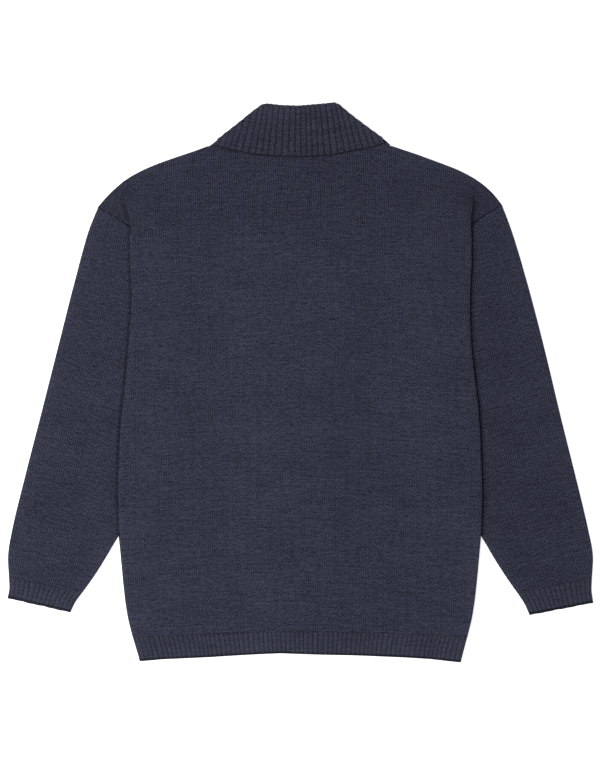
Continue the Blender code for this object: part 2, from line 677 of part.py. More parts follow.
def build_collar():
    """The folded-over collar: its ribbed fall, the fold along its outline, and its stand."""
    radius = (RIB + COLLAR_GAP) / 2
    columns = 2 * COLLAR_RIBS + 1
    lines = [collar_column(x) for x in np.linspace(-COLLAR_HALF, COLLAR_HALF, columns)]
    crowns = np.array([crown for _, crown in lines])
    back_x = np.linspace(SHOULDER["x"][0], SHOULDER["x"][-1], BACK_COLUMNS)
    back_y = np.interp(back_x, SHOULDER["x"], SHOULDER["y"])
    grid = []
    for i, (foot, crown) in enumerate(lines):
        out = square_to(crowns, i, np.array([0.0, 1.0]))
        rim = crown - out * (radius + RIB / 2)
        top_z = STAND_Z + 2 * radius
        line = []
        for share in (0.0, 0.2, 0.45, 0.7, 1.0):
            line.append((*(foot + (rim - foot) * share), top_z))
        for k in (1, 2, 3):
            angle = math.pi * k / 4
            place = rim + out * radius * math.sin(angle)
            line.append((*place, STAND_Z + radius * (1 + math.cos(angle))))
        neck_x = rim[0] * 1.04
        neck_y = float(np.interp(neck_x, back_x, back_y)) + SEAM + 0.1
        neck = np.array([neck_x, min(neck_y, rim[1] - 1.0)])
        for share in (0.0, 0.5, 1.0):
            line.append((*(rim + (neck - rim) * share), STAND_Z))
        grid.append(line)
    centre = np.array(grid).transpose(1, 0, 2)
    rise = np.zeros(centre.shape[:2])
    rise[:6, 1:-1:2] = RIB_RISE
    rise[6, 1:-1:2] = RIB_RISE / 2
    wall("collar", centre, RIB, "rib", rise=rise)


def main():
    for old in list(bpy.data.objects):
        bpy.data.objects.remove(old, do_unlink=True)
    build_back()
    build_back_hem()
    for side in ("left", "right"):
        build_front(side)
        build_front_hem(side)
        build_band(side)
        build_sleeve(side)
        build_cuff(side)
    build_collar()
    build_buttons()


main()
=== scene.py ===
# %% [markdown]
# # A shawl-collar cardigan, laid out on its buttoned front
#
# This file is a lesson in cells. It dresses the rigid model of a navy knitted cardigan, which
# lies flat with its back on top. The rigid model has the garment's true shape in plain walls.
# Here every piece of cloth is knitted again over its own wall: finer, softer at its edges,
# with real ribs, shallow creases and a surface made of stitches.
#
# First the rigid model is loaded as a fixed frame. Everything below is in metres, in the same
# place as that model, with X across the garment, Y from its hem to its collar and Z upwards.

# %% Load the frame
import math

import bpy
import numpy as np
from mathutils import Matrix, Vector


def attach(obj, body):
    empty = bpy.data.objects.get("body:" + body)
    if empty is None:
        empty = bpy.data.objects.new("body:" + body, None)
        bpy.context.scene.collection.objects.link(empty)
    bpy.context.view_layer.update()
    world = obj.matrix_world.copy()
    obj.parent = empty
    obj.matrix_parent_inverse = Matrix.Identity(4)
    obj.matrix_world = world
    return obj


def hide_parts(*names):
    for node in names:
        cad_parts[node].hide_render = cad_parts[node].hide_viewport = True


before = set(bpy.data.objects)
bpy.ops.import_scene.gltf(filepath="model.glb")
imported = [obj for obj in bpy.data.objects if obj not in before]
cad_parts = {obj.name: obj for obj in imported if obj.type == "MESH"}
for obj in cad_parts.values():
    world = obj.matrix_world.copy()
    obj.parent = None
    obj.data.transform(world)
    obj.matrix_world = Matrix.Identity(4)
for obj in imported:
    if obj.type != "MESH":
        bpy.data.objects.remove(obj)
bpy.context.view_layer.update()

MM = 0.001
SIDES = ("left", "right")

# %% [markdown]
# ## The camera
#
# The garment was photographed from straight above. A long lens far away keeps parallel lines
# parallel, as a copy stand does. The frame is 831.6 mm wide and 1060.3 mm high at the cloth,
# which is how many millimetres one pixel covers, times the picture's size.

# %% Camera
PICTURE = (600, 765)
PIXEL = 1.386 * MM
AIM = Vector((-0.2 * MM, -0.5 * MM, 6.0 * MM))
CAMERA_HEIGHT = 6.0
SENSOR_WIDTH = 36.0
SEEN_AS_FAR_AS = 50.0
camera_data = bpy.data.cameras.new("camera")
camera = bpy.data.objects.new("camera", camera_data)
bpy.context.scene.collection.objects.link(camera)
camera_data.sensor_width = SENSOR_WIDTH
camera_data.lens = SENSOR_WIDTH * CAMERA_HEIGHT / (PICTURE[1] * PIXEL)
camera_data.clip_end = SEEN_AS_FAR_AS
camera.location = AIM + Vector((0.0, 0.0, CAMERA_HEIGHT))
bpy.context.scene.camera = camera
print("lens in mm:", round(camera_data.lens, 1))

# %% [markdown]
# ## Measures of the garment
#
# These are the rigid model's tables, in millimetres, read off the picture: half widths of the
# body at its fold lines, the shoulders, the hem, the sleeves, the cuffs and the collar. Here
# and there a sleeve or a cuff is a pixel finer. The picture's left is the wearer's left,
# because the back is on top.

# %% Thickness of the cloth and height of its layers
KNIT = 1.8
RIB = 2.2
SEAM = 0.3
LAP = 0.3
FOLD_RADIUS = 1.25
HEM_RADIUS = 1.7
SLEEVE_GAP = 0.6
COLLAR_GAP = 0.7
FRONT_Z = KNIT / 2
BACK_Z = 3.4
SLEEVE_LIFT = 2.1
STAND_Z = 3.7
BAND_WIDTH = 36.0
UNDER_BAND_Z = 3.95
OVER_BAND_Z = 6.5
NECK_POINT_Y = 60.0
HEM_RIBS = 70
CUFF_RIBS = 14
COLLAR_RIBS = 26
BAND_RIBS = 5
BACK_COLUMNS = 21

# %% Outline of the body
BODY_SIDE = {
    "y":     (-385.8, -365.7, -353.2, -340.7, -315.8, -282.5, -249.3, -216.0, -163.3, -91.3,
              -41.4, -8.1, 58.4, 113.9, 174.8, 216.0, 239.0, 251.4, 263.5, 279.1),
    "left":  (222.7, 227.9, 232.4, 236.2, 241.0, 245.1, 248.0, 251.8, 253.8, 252.5,
              248.3, 244.1, 238.6, 234.4, 237.2, 236.7, 238.6, 240.3, 241.8, 244.1),
    "right": (222.9, 227.2, 231.9, 235.8, 240.3, 244.4, 247.6, 250.5, 252.7, 250.7,
              247.9, 243.7, 236.8, 235.4, 238.2, 237.1, 237.9, 238.7, 239.8, 241.0),
}
# The turned-under sides. Of a row at y: angles of the turn at the fold and of the turn back,
# the straight runs after them, the slant of its path, its height and how far it slopes inside.
PLEAT = {
    "y":       (-386.0, -262.0, -240.0, -226.0, -216.0, -163.0, -91.0, -8.0, 120.0, 175.0,
                195.0, 205.0, 216.0, 227.5, 239.0, 251.4, 263.5, 279.1),
    "turn":    (100.0, 100.0, 110.0, 140.0, 180.0, 180.0, 180.0, 180.0, 180.0, 180.0,
                180.0, 150.0, 100.0, 85.0, 60.0, 22.0, 10.0, 4.0),
    "back":    (0.0, 0.0, 0.0, 0.0, 0.0, 0.0, 0.0, 0.0, 0.0, 0.0,
                0.0, 0.0, 10.0, 80.0, 60.0, 22.0, 10.0, 4.0),
    "run":     (0.6, 0.6, 0.6, 1.0, 2.0, 4.0, 8.0, 12.0, 12.0, 10.0,
                2.0, 0.8, 0.5, 2.0, 2.5, 3.0, 3.0, 3.0),
    "tail":    (0.8, 0.8, 0.8, 1.0, 2.0, 8.0, 20.0, 30.0, 30.0, 24.0,
                5.0, 1.2, 0.6, 0.0, 0.0, 0.0, 0.0, 0.0),
    "heading": (0.0, 0.0, 0.0, 0.0, 0.0, 0.0, 0.0, 0.0, 0.0, 0.0,
                0.0, 10.0, 30.0, 45.0, 45.0, 45.0, 45.0, 45.0),
    "height":  (6.5, 6.5, 6.8, 8.0, 10.1, 10.1, 10.1, 10.1, 10.1, 10.1,
                10.6, 11.0, 10.8, 9.7, 8.0, 5.2, 4.2, 3.5),
    "reach":   (30.0, 30.0, 40.0, 70.0, 90.0, 90.0, 90.0, 90.0, 90.0, 90.0,
                90.0, 85.0, 80.0, 70.0, 60.0, 40.0, 30.0, 30.0),
}
BACK_ROWS = (-353.2, -325.0, -295.0, -262.0, -240.0, -226.0, -214.0, -190.0, -150.0, -110.0,
             -70.0, -30.0, 10.0, 50.0, 90.0, 130.0, 160.0, 180.0, 195.0, 205.0, 216.0,
             227.5, 239.0, 251.4, 263.5, 279.1)
SHOULDER = {
    "x": (-244.1, -219.2, -185.9, -152.7, -127.7, -118.0, -60.0, 0.0,
          60.0, 118.0, 125.2, 155.0, 188.3, 221.6, 241.0),
    "y": (279.1, 293.6, 307.2, 318.2, 327.3, 329.0, 323.5, 321.5,
          323.5, 329.0, 327.9, 318.2, 306.2, 293.1, 282.7),
}
RIB_SEAM = {
    "x": (-235.0, -120.0, 0.0, 120.0, 235.0),
    "y": (-353.2, -348.0, -345.0, -348.0, -353.2),
}
HEM = {
    "x": (-222.7, -194.2, -127.7, -61.2, -27.9, 22.0, 71.9, 146.7, 180.0, 222.9),
    "y": (-385.8, -383.4, -380.4, -376.2, -374.6, -376.4, -377.6, -380.8, -382.9, -387.4),
}

# %% Outlines of the sleeves, the cuffs and the collar
ARMHOLE_TIP = {"left": (280.5, 242.2), "right": (279.8, 246.1)}
ARMHOLE_CROSSING = {"left": (236.7, 216.0), "right": (237.6, 219.8)}
ARMHOLE_HIDDEN = {
    "x": (213.6, 202.0, 198.0, 194.0, 172.0),
    "y": (199.8, 166.5, 120.0, 70.0, 10.0),
}
SLEEVE_OUTER = {
    "y":     (-271.4, -245.1, -207.7, -149.5, -49.7, 50.1, 149.9, 216.4),
    "left":  (403.9, 405.5, 400.1, 386.3, 360.8, 335.5, 310.0, 291.0),
    "right": (404.7, 406.4, 400.2, 386.6, 361.8, 337.9, 311.5, 291.0),
}
SLEEVE_INNER = {
    "y":     (-291.2, -265.9, -241.0, -216.0, -177.2, -128.7, -66.3, 10.0),
    "left":  (302.2, 283.9, 268.5, 253.7, 230.3, 208.1, 190.0, 172.0),
    "right": (301.0, 283.0, 267.2, 252.7, 230.0, 208.1, 190.0, 172.0),
}
# Outer seam, outer end, inner end and inner seam of each cuff.
CUFF = {
    "left":  ((403.9, -271.8), (405.4, -297.3), (317.8, -317.3), (302.2, -291.6)),
    "right": ((404.6, -272.2), (406.2, -303.7), (317.2, -320.9), (301.0, -291.8)),
}
COLLAR_TOP = {
    "x": (-126.5, -113.2, -87.7, -67.4, -52.9, -44.6, -27.9, -3.0,
          30.3, 46.9, 53.3, 66.2, 76.7, 98.9, 121.3, 126.0),
    "y": (327.4, 338.0, 357.8, 374.4, 385.1, 385.9, 383.9, 383.0,
          385.8, 387.5, 385.5, 374.4, 366.1, 349.5, 333.7, 328.5),
}
COLLAR_FREE = {
    "x": (-122.2, -115.2, -94.6, -63.7, -41.5, 0.0, 43.6, 77.4, 106.5, 121.1),
    "y": (331.5, 326.1, 321.2, 315.9, 313.7, 312.1, 314.8, 322.0, 326.9, 332.8),
}
# Rib lines lean inwards by a share of their place on the free edge, over the fall's height.
COLLAR_FAN = 0.19
COLLAR_FREE_Y = 312.0
COLLAR_FALL = 73.0
COLLAR_HIGHEST = 388.0
COLLAR_HALF = 118.0
COLLAR_END = 5.0

# %% Seams and free edges of the front bands
SHAWL = {
    "y":    (-400.0, 30.0, 60.0, 95.0, 130.0, 165.0, 200.0, 240.0, 280.0, 326.2),
    "seam": (18.0, 18.0, 19.5, 25.0, 36.0, 50.5, 66.0, 84.5, 103.5, 124.8),
    "free": (-18.0, -18.0, -17.0, -13.0, -6.0, 2.5, 12.0, 25.0, 39.0, 54.0),
}
SEAM_ROWS = (-346.0, -270.0, -190.0, -110.0, -40.0, 30.0, 60.0, 95.0, 130.0, 165.0, 200.0,
             220.0, 240.0, 260.0, 280.0, 303.0, 326.2)
SHAWL_RISE = 55.3
HEM_END_Y = HEM["y"][0]
HEM_SEAM_Y = RIB_SEAM["y"][0]
UNDERARM_Y = -216.0
NECK_X = 125.0
print("body is", max(BODY_SIDE["left"]) + max(BODY_SIDE["right"]), "mm wide at its widest")

# %% [markdown]
# ## Knitting a sheet finer
#
# Each wall of the rigid model follows a grid of points in the middle of its cloth, 20 to 40 mm
# apart. Real cloth bends evenly between such points, so a smooth curve through them gives the
# rows and columns in between. Where a long gap meets the short ones of a tight fold, the curve
# may leave the straight line by no more than the short gaps allow, so a fold doesn't swing out.

# %% Smooth curves through a grid
def smoothstep(low, high, value):
    """Ease from 0 to 1 as the value goes from low to high."""
    share = np.clip((np.asarray(value, dtype=float) - low) / (high - low), 0.0, 1.0)
    return share * share * (3.0 - 2.0 * share)


def refine(points, times, closed=False):
    """Put times - 1 new rows between each two rows, on smooth curves down the columns."""
    if closed:
        points = np.concatenate([points[-1:], points, points[:2]])
    gaps = np.maximum(np.linalg.norm(np.diff(points, axis=0), axis=-1)[..., None], 1e-6)
    steps = np.diff(points, axis=0) / gaps
    slopes = np.empty_like(points)
    slopes[0], slopes[-1] = steps[0], steps[-1]
    slopes[1:-1] = (gaps[:-1] * steps[1:] + gaps[1:] * steps[:-1]) / (gaps[:-1] + gaps[1:])
    rows = []
    ends = 1 if closed else 0
    for k in range(ends, len(gaps) - ends):
        before = np.minimum(gaps[k], 2 * gaps[k - 1]) if k > 0 else gaps[k]
        after = np.minimum(gaps[k], 2 * gaps[k + 1]) if k + 1 < len(gaps) else gaps[k]
        chord = points[k + 1] - points[k]
        leave = chord + (slopes[k] - steps[k]) * before
        arrive = chord + (slopes[k + 1] - steps[k]) * after
        for s in np.arange(times) / times:
            rows.append((1 + 2 * s) * (1 - s) ** 2 * points[k] + s * (1 - s) ** 2 * leave
                        + s * s * (3 - 2 * s) * points[k + 1] + s * s * (s - 1) * arrive)
    if not closed:
        rows.append(points[-1])
    return np.array(rows)


def refine_grid(centre, rows, columns, closed=False):
    """Refine a grid of points both ways."""
    finer = refine(np.asarray(centre, dtype=float), rows)
    return refine(finer.transpose(1, 0, 2), columns, closed).transpose(1, 0, 2)


def walked(points, axis):
    """Distance walked along the grid from its first row or column to each point."""
    steps = np.linalg.norm(np.diff(points, axis=axis), axis=2)
    start = np.zeros_like(np.take(steps, [0], axis=axis))
    return np.concatenate([start, np.cumsum(steps, axis=axis)], axis=axis)


square = np.array([[(x, y, 0.0) for x in (0.0, 1.0, 2.0)] for y in (0.0, 1.0)])
print("a 2 by 3 grid refined four times:", refine_grid(square, 4, 4).shape)

# %% [markdown]
# ## Giving a sheet its thickness
#
# A flat grid is added and its points are carried to their places on the inside of the cloth.
# Extruding all of it makes the second skin and the rim between them, and the new points are
# carried to the outside, and none below the table. A number kept on each point says where it
# belongs in the grid. The grid's own UV map is turned into counted stitches: across it counts
# columns of stitches, and up it counts rows, so the knitting follows the cloth as it bends.

# %% Two skins and a rim
SHARPEST_HALF_TURN = 0.6


def along(points, axis, closed):
    """Average direction at each point of a grid, and the cosine of its half turn."""
    if closed:
        before = points - np.roll(points, 1, axis=axis)
        after = np.roll(points, -1, axis=axis) - points
    else:
        steps = np.diff(points, axis=axis)
        before = np.concatenate([np.take(steps, [0], axis=axis), steps], axis=axis)
        after = np.concatenate([steps, np.take(steps, [-1], axis=axis)], axis=axis)
    before = before / np.linalg.norm(before, axis=2, keepdims=True)
    after = after / np.linalg.norm(after, axis=2, keepdims=True)
    middle = before + after
    middle = middle / np.linalg.norm(middle, axis=2, keepdims=True)
    cosine = (middle * after).sum(axis=2, keepdims=True)
    return middle, np.clip(cosine, SHARPEST_HALF_TURN, 1.0)


def skins(centre, thickness, rise, closed, upright):
    """Outer and inner points of a wall round a grid of its middle points."""
    across, turn_across = along(centre, 1, closed)
    down, turn_down = along(centre, 0, False)
    if upright:
        down = np.array([0.0, 1.0, 0.0])
        turn_down = 1.0
    normal = np.cross(across, down)
    normal = normal / np.linalg.norm(normal, axis=2, keepdims=True)
    wall = np.broadcast_to(thickness, rise.shape)[:, :, None]
    reach = normal / (turn_across * turn_down) * wall
    outer = centre + reach / 2 + normal * rise[:, :, None]
    inner = centre - reach / 2
    for skin in (outer, inner):
        skin[:, :, 2] = np.maximum(skin[:, :, 2], 0.0)
    return outer, inner


def alone(piece):
    """Deselect everything, then select this piece and make it the active one."""
    bpy.ops.object.select_all(action="DESELECT")
    piece.select_set(True)
    bpy.context.view_layer.objects.active = piece


MERGED_WITHIN = 1e-7
SMOOTH_BELOW = math.radians(50.0)


def add_sheet(name, outer, inner, stitches, closed, marks):
    """A closed shell from a grid of inner and of outer points, in millimetres."""
    rows, columns = inner.shape[:2]
    cells = columns if closed else columns - 1
    bpy.ops.object.select_all(action="DESELECT")
    bpy.ops.mesh.primitive_grid_add(x_subdivisions=cells, y_subdivisions=rows - 1, size=2.0)
    piece = bpy.context.object
    piece.name = piece.data.name = name
    mesh = piece.data
    plan = np.zeros(len(mesh.vertices) * 3)
    mesh.vertices.foreach_get("co", plan)
    plan = plan.reshape(-1, 3)
    i = np.rint((plan[:, 0] + 1) / 2 * cells).astype(int)
    j = np.rint((plan[:, 1] + 1) / 2 * (rows - 1)).astype(int)
    number = mesh.attributes.new("place in grid", "INT", "POINT")
    number.data.foreach_set("value", (j * columns + i % columns).astype(np.int32))
    for mark, values in marks.items():
        added = mesh.attributes.new(mark, "FLOAT", "POINT")
        added.data.foreach_set("value", values[j, i % columns].astype(np.float32))
    corners = np.zeros(len(mesh.loops), dtype=np.int32)
    mesh.loops.foreach_get("vertex_index", corners)
    stitch_map = mesh.uv_layers[0]
    stitch_map.name = "stitches"
    stitch_map.data.foreach_set("uv", stitches[j[corners], i[corners]].ravel())
    mesh.vertices.foreach_set("co", (inner[j, i % columns] * MM).ravel())
    bpy.ops.object.mode_set(mode="EDIT")
    bpy.ops.mesh.select_all(action="SELECT")
    if closed:
        bpy.ops.mesh.remove_doubles(threshold=MERGED_WITHIN)
    bpy.ops.mesh.extrude_region_move(TRANSFORM_OT_translate={"value": (0.0, 0.0, 0.0)})
    bpy.ops.object.mode_set(mode="OBJECT")
    count = len(mesh.vertices)
    place = np.zeros(count, dtype=np.int32)
    mesh.attributes["place in grid"].data.foreach_get("value", place)
    lifted = np.zeros(count, dtype=bool)
    mesh.vertices.foreach_get("select", lifted)
    j, i = np.divmod(place, columns)
    points = np.where(lifted[:, None], outer[j, i], inner[j, i]) * MM
    mesh.vertices.foreach_set("co", points.ravel())
    mesh.update()
    alone(piece)
    bpy.ops.object.mode_set(mode="EDIT")
    bpy.ops.mesh.select_all(action="SELECT")
    bpy.ops.mesh.normals_make_consistent(inside=False)
    bpy.ops.object.mode_set(mode="OBJECT")
    bpy.ops.object.shade_smooth_by_angle(angle=SMOOTH_BELOW)
    return piece


# %% [markdown]
# ## Marks on the cloth
#
# Yarn looks darker where a seam draws it in, and opens its furrows where it is pulled. Shade is
# painted into the colour at some edges and beside the folds that stand above the cloth, deeper
# painted shade goes into furrows that are pulled open, and a painted rim light lightens the
# colour near the outline. Each point of a sheet keeps three marks for this: its distance in
# millimetres from a seam, an edge or a fold, stretched where the shade should fade sooner, how
# far its furrows are pulled open and shaded, and its distance from the garment's outline.

# %% Distance to the outline
FAR = 99.0


def sign(side):
    """The left side has negative X."""
    return -1.0 if side == "left" else 1.0


def outline_lines():
    """The garment's outline in plan: its hem, its collar, and each side with its sleeve."""
    lines = [list(zip(HEM["x"], HEM["y"])), list(zip(COLLAR_TOP["x"], COLLAR_TOP["y"]))]
    for side in SIDES:
        half = [(x, y) for x, y in zip(BODY_SIDE[side], BODY_SIDE["y"]) if y <= UNDERARM_Y]
        inner = [(x, y) for x, y in zip(SLEEVE_INNER[side], SLEEVE_INNER["y"]) if y <= UNDERARM_Y]
        half += inner[::-1] + [CUFF[side][2], CUFF[side][1]]
        half += list(zip(SLEEVE_OUTER[side], SLEEVE_OUTER["y"])) + [ARMHOLE_TIP[side]]
        shoulder = [(abs(x), y) for x, y in zip(SHOULDER["x"], SHOULDER["y"])
                    if x * sign(side) > NECK_X]
        half += sorted(shoulder, reverse=True)
        lines.append([(sign(side) * x, y) for x, y in half])
    return lines


def from_outline(points):
    """Distance in plan from each point to the garment's outline."""
    place = points[:, :, :2]
    nearest = np.full(points.shape[:2], FAR)
    for line in outline_lines():
        for first, last in zip(line[:-1], line[1:]):
            run = np.array(last) - first
            share = np.clip((place - first) @ run / (run @ run), 0.0, 1.0)
            gap = np.linalg.norm(place - first - share[:, :, None] * run, axis=2)
            nearest = np.minimum(nearest, gap)
    return nearest


print("lines in the outline:", len(outline_lines()))

# %% Knit one piece
sheets = {}


def knit(name, centre, thickness, stitches, rise=None, closed=False, upright=False,
         from_seam_and_shade=None, opened=None):
    """Add one piece of cloth round its middle points, and keep what the sheet measures."""
    shape = centre.shape[:2]
    rise = np.zeros(shape) if rise is None else rise
    marks = {
        "from seam and shade": np.full(shape, FAR) if from_seam_and_shade is None else from_seam_and_shade,
        "opened": np.zeros(shape) if opened is None else opened,
        "from outline": from_outline(centre),
    }
    outer, inner = skins(centre, thickness, rise, closed, upright)
    piece = add_sheet(name, outer, inner, stitches, closed, marks)
    across = np.diff(centre[:-1], axis=1)
    down = np.diff(centre[:, :-1], axis=0)
    area = float(np.linalg.norm(np.cross(across, down), axis=2).sum()) * MM * MM
    sheets[name] = {"piece": piece, "area": area}
    print(f"{name}: {len(piece.data.polygons)} faces, {area:.4f} square metres")


def counted(centre, across_unit, up_unit, closed=False):
    """Stitch counts over a grid: distance walked each way, in columns and rows of stitches."""
    if closed:
        centre = np.concatenate([centre, centre[:, :1]], axis=1)
    across = walked(centre, 1)
    middle = across.shape[1] // 2
    across = across - across[:, middle:middle + 1]
    up = walked(centre, 0)
    return np.stack([across / across_unit, up / up_unit], axis=2)


print("stitches counted over that grid:", counted(square, 0.5, 0.5)[-1, -1].tolist())

# %% [markdown]
# ## The back panel
#
# The back is one flat knitted panel. At each side it turns down at a fold line and runs back
# under itself, over the sleeve that is tucked in below it. Near the shoulder the fold opens
# and the panel's outer corner lies in view, down to the armhole seam. Two front bands below
# hold the middle up a little. The rows of points say all this, from the hem to the shoulders.

# %% Heights and outline of the body
BAND_LEVEL_Y = 70.0
BAND_DIP_Y = 160.0
BAND_DIP = 0.9
OVER_BAND_DOWN_Y = 235.0
UNDER_BAND_DOWN_Y = 215.0
CLEAR = 0.2
LIFT_MARGIN = 8.0
LIFT_SLOPE = 80.0
SLEEVE_SLOPE = (17.0, 46.0)
ARMHOLE_SLOPE = (223.0, 250.0)


def read(table, y, column):
    """Linear reading of one column of a table at a height."""
    return float(np.interp(y, table["y"], table[column]))


def side_width(side, y):
    """Half width of the body's outline at a height."""
    return read(BODY_SIDE, y, side)


def band_height(y, over):
    """Middle of a band: raised on the buttons, and down on the surface at the neck."""
    top = OVER_BAND_Z if over else UNDER_BAND_Z
    down_y = OVER_BAND_DOWN_Y if over else UNDER_BAND_DOWN_Y
    return float(np.interp(y, (BAND_LEVEL_Y, BAND_DIP_Y, down_y), (top, top - BAND_DIP, RIB / 2)))


def seam_width(y):
    """Distance from the middle to the seam between a front and its band."""
    return read(SHAWL, y, "seam")


def centre_lift(x, y):
    """How far the front bands hold the back panel up, along its middle."""
    tall = band_height(y, True) - RIB / 2 + CLEAR
    if tall < CLEAR + 0.05:
        return 0.0
    edge = seam_width(y) + LIFT_MARGIN
    return float(tall * (1.0 - smoothstep(edge, edge + LIFT_SLOPE, abs(x))))


def over_front(side, x, y):
    """1 where a sleeve lies on the front, 0 where it lies on the surface below."""
    outside = abs(x) - side_width(side, y)
    near_body = 1.0 - smoothstep(*SLEEVE_SLOPE, outside)
    return float(near_body * (1.0 - smoothstep(*ARMHOLE_SLOPE, y)))


print("the middle is held up by", round(centre_lift(0.0, -100.0), 2), "mm")


# %% The turned-under sides of the back
SHORTEST_TURN = 0.8
LEFT_FOLD_INSIDE = 1.7
RIGHT_FOLD_LIFT = 3.6
FOLD_OPENS_Y = 220.0
CORNER_BOW = 1.6
SHOULDER_Y = BODY_SIDE["y"][-1]


def pleat_path(turn, back, run, tail, radius):
    """Steps out from the fold line and down, through both turns."""
    path = []
    out, down, heading = 0.0, 0.0, 0.0
    stages = (
        (max(radius * turn, SHORTEST_TURN), turn, 4),
        (run, 0.0, 1),
        (max(radius * back, SHORTEST_TURN), -back, 2),
        (tail, 0.0, 3),
    )
    for length, change, steps in stages:
        for _ in range(steps):
            heading += change / steps / 2
            out += length / steps * math.cos(heading)
            down += length / steps * math.sin(heading)
            heading += change / steps / 2
            path.append((out, down))
    return path


def corner_length(side, fold, direction):
    """Distance from the fold line to the visible armhole seam."""
    tip = np.array(ARMHOLE_TIP[side])
    seam = np.array(ARMHOLE_CROSSING[side]) - tip
    lead = tip - fold
    cross = direction[0] * seam[1] - direction[1] * seam[0]
    return (lead[0] * seam[1] - lead[1] * seam[0]) / cross


def fold_line(side, y):
    """How far the left fold lies inside the line of shadow that it leaves on its sleeve."""
    if side == "right":
        return 0.0
    turned_under = smoothstep(-262.0, -226.0, y) * (1.0 - smoothstep(239.0, 262.0, y))
    return LEFT_FOLD_INSIDE * float(turned_under)


def side_end(side, y, fold_height, thickness, radius):
    """The turned-under end of one row of the back, from its fold line outwards."""
    values = {name: read(PLEAT, y, name) for name in PLEAT}
    turn, back = math.radians(values["turn"]), math.radians(values["back"])
    inset = (radius + thickness / 2) * float(smoothstep(60.0, 95.0, values["turn"]))
    lift = float(RIGHT_FOLD_LIFT * smoothstep(150.0, 215.0, y)) if side == "right" else 0.0
    fold = np.array([side_width(side, y) - inset - fold_line(side, y), y + lift])
    slant = math.radians(values["heading"])
    direction = np.array([math.cos(slant), -math.sin(slant)])
    tail = values["tail"]
    bow = 0.0
    if y > FOLD_OPENS_Y:
        probe = pleat_path(turn, back, values["run"], 0.001, radius)[-1][0]
        tail = corner_length(side, fold, direction) - probe
        bow = CORNER_BOW * (y - FOLD_OPENS_Y) / (SHOULDER_Y - FOLD_OPENS_Y)
    path = pleat_path(turn, back, values["run"], tail, radius)
    reach = path[-1][0]
    points = []
    for out, down in path:
        share = min(max(out / reach, 0.0), 1.0) if bow else 0.0
        rise = bow * math.sin(math.pi * share)
        place = fold + direction * out + np.array([-direction[1], direction[0]]) * rise
        points.append((sign(side) * place[0], place[1], fold_height - down))
    return (sign(side) * fold[0], fold[1]), points


FOLD_PLATEAU = 6.0


def back_row(y, columns, edge_shape, thickness=KNIT, radius=FOLD_RADIUS):
    """Middle points of one row, from the left end round both folds to the right end."""
    height = read(PLEAT, y, "height")
    left_fold, left_end = side_end("left", y, height, thickness, radius)
    right_fold, right_end = side_end("right", y, height, thickness, radius)
    plateau = read(PLEAT, y, "run") + read(PLEAT, y, "tail") + FOLD_PLATEAU
    reach = read(PLEAT, y, "reach")
    bends = (edge_shape(left_fold[0], y), edge_shape(right_fold[0], y))
    row = left_end[::-1]
    for share in np.linspace(0.0, 1.0, columns):
        x = left_fold[0] + share * (right_fold[0] - left_fold[0])
        level = left_fold[1] + share * (right_fold[1] - left_fold[1])
        inside = min(x - left_fold[0], right_fold[0] - x)
        near = float(1.0 - smoothstep(plateau, plateau + reach, inside))
        z = BACK_Z + (height - BACK_Z) * near + centre_lift(x, y)
        bend = edge_shape(x, y) - bends[0] - share * (bends[1] - bends[0])
        row.append((x, level + bend, z))
    row.extend(right_end)
    return row


def back_shape(x, y):
    """How a course of the back bends: with the shoulders above, with the hem below."""
    share = (y - BACK_ROWS[0]) / (BACK_ROWS[-1] - BACK_ROWS[0])
    chord = np.interp(x, (SHOULDER["x"][0], SHOULDER["x"][-1]),
                      (SHOULDER["y"][0], SHOULDER["y"][-1]))
    above = np.interp(x, SHOULDER["x"], SHOULDER["y"]) - chord
    below = np.interp(x, RIB_SEAM["x"], RIB_SEAM["y"]) - HEM_SEAM_Y
    return float(above * share ** 4 + below * (1.0 - share) ** 4)


left_fold_x = side_end("left", 0.0, read(PLEAT, 0.0, "height"), KNIT, FOLD_RADIUS)[0][0]
print("the left fold lies at x =", round(left_fold_x, 1))

# %% [markdown]
# ## Creases
#
# Wool that has been pressed and laid out by hand is never quite flat. Shallow troughs and
# ridges are put where the cloth was pulled: below the collar, from the underarms and down the
# sleeves. Each is a line with a width and a depth, and no two are alike.

# %% Creases listed one by one
BACK_CREASES = (
    # x, y of both ends, width, depth
    (-226.0, 150.0, -120.0, 60.0, 26.0, -0.55),
    (-228.0, 95.0, -150.0, -30.0, 30.0, 0.45),
    (224.0, 160.0, 130.0, 85.0, 24.0, -0.60),
    (230.0, 90.0, 170.0, -60.0, 34.0, 0.50),
    (-90.0, 290.0, -150.0, 190.0, 30.0, 0.40),
    (100.0, 285.0, 165.0, 170.0, 28.0, -0.40),
    (-30.0, 250.0, 40.0, 215.0, 34.0, -0.30),
    (-170.0, -120.0, -60.0, -185.0, 38.0, 0.40),
    (60.0, -70.0, 190.0, -150.0, 36.0, -0.35),
    (-110.0, -260.0, 40.0, -285.0, 34.0, -0.40),
    (90.0, -255.0, 200.0, -300.0, 30.0, 0.35),
    (26.0, -60.0, 24.0, -330.0, 12.0, -0.35),
)
SLEEVE_CREASES = (
    (262.0, 150.0, 300.0, 60.0, 22.0, -0.60),
    (250.0, 40.0, 330.0, 5.0, 20.0, 0.55),
    (262.0, -40.0, 350.0, -75.0, 22.0, -0.60),
    (300.0, -110.0, 372.0, -150.0, 20.0, 0.55),
    (270.0, -180.0, 380.0, -215.0, 24.0, -0.50),
    (330.0, 90.0, 342.0, -120.0, 26.0, 0.45),
    (300.0, -235.0, 395.0, -262.0, 14.0, 0.50),
)


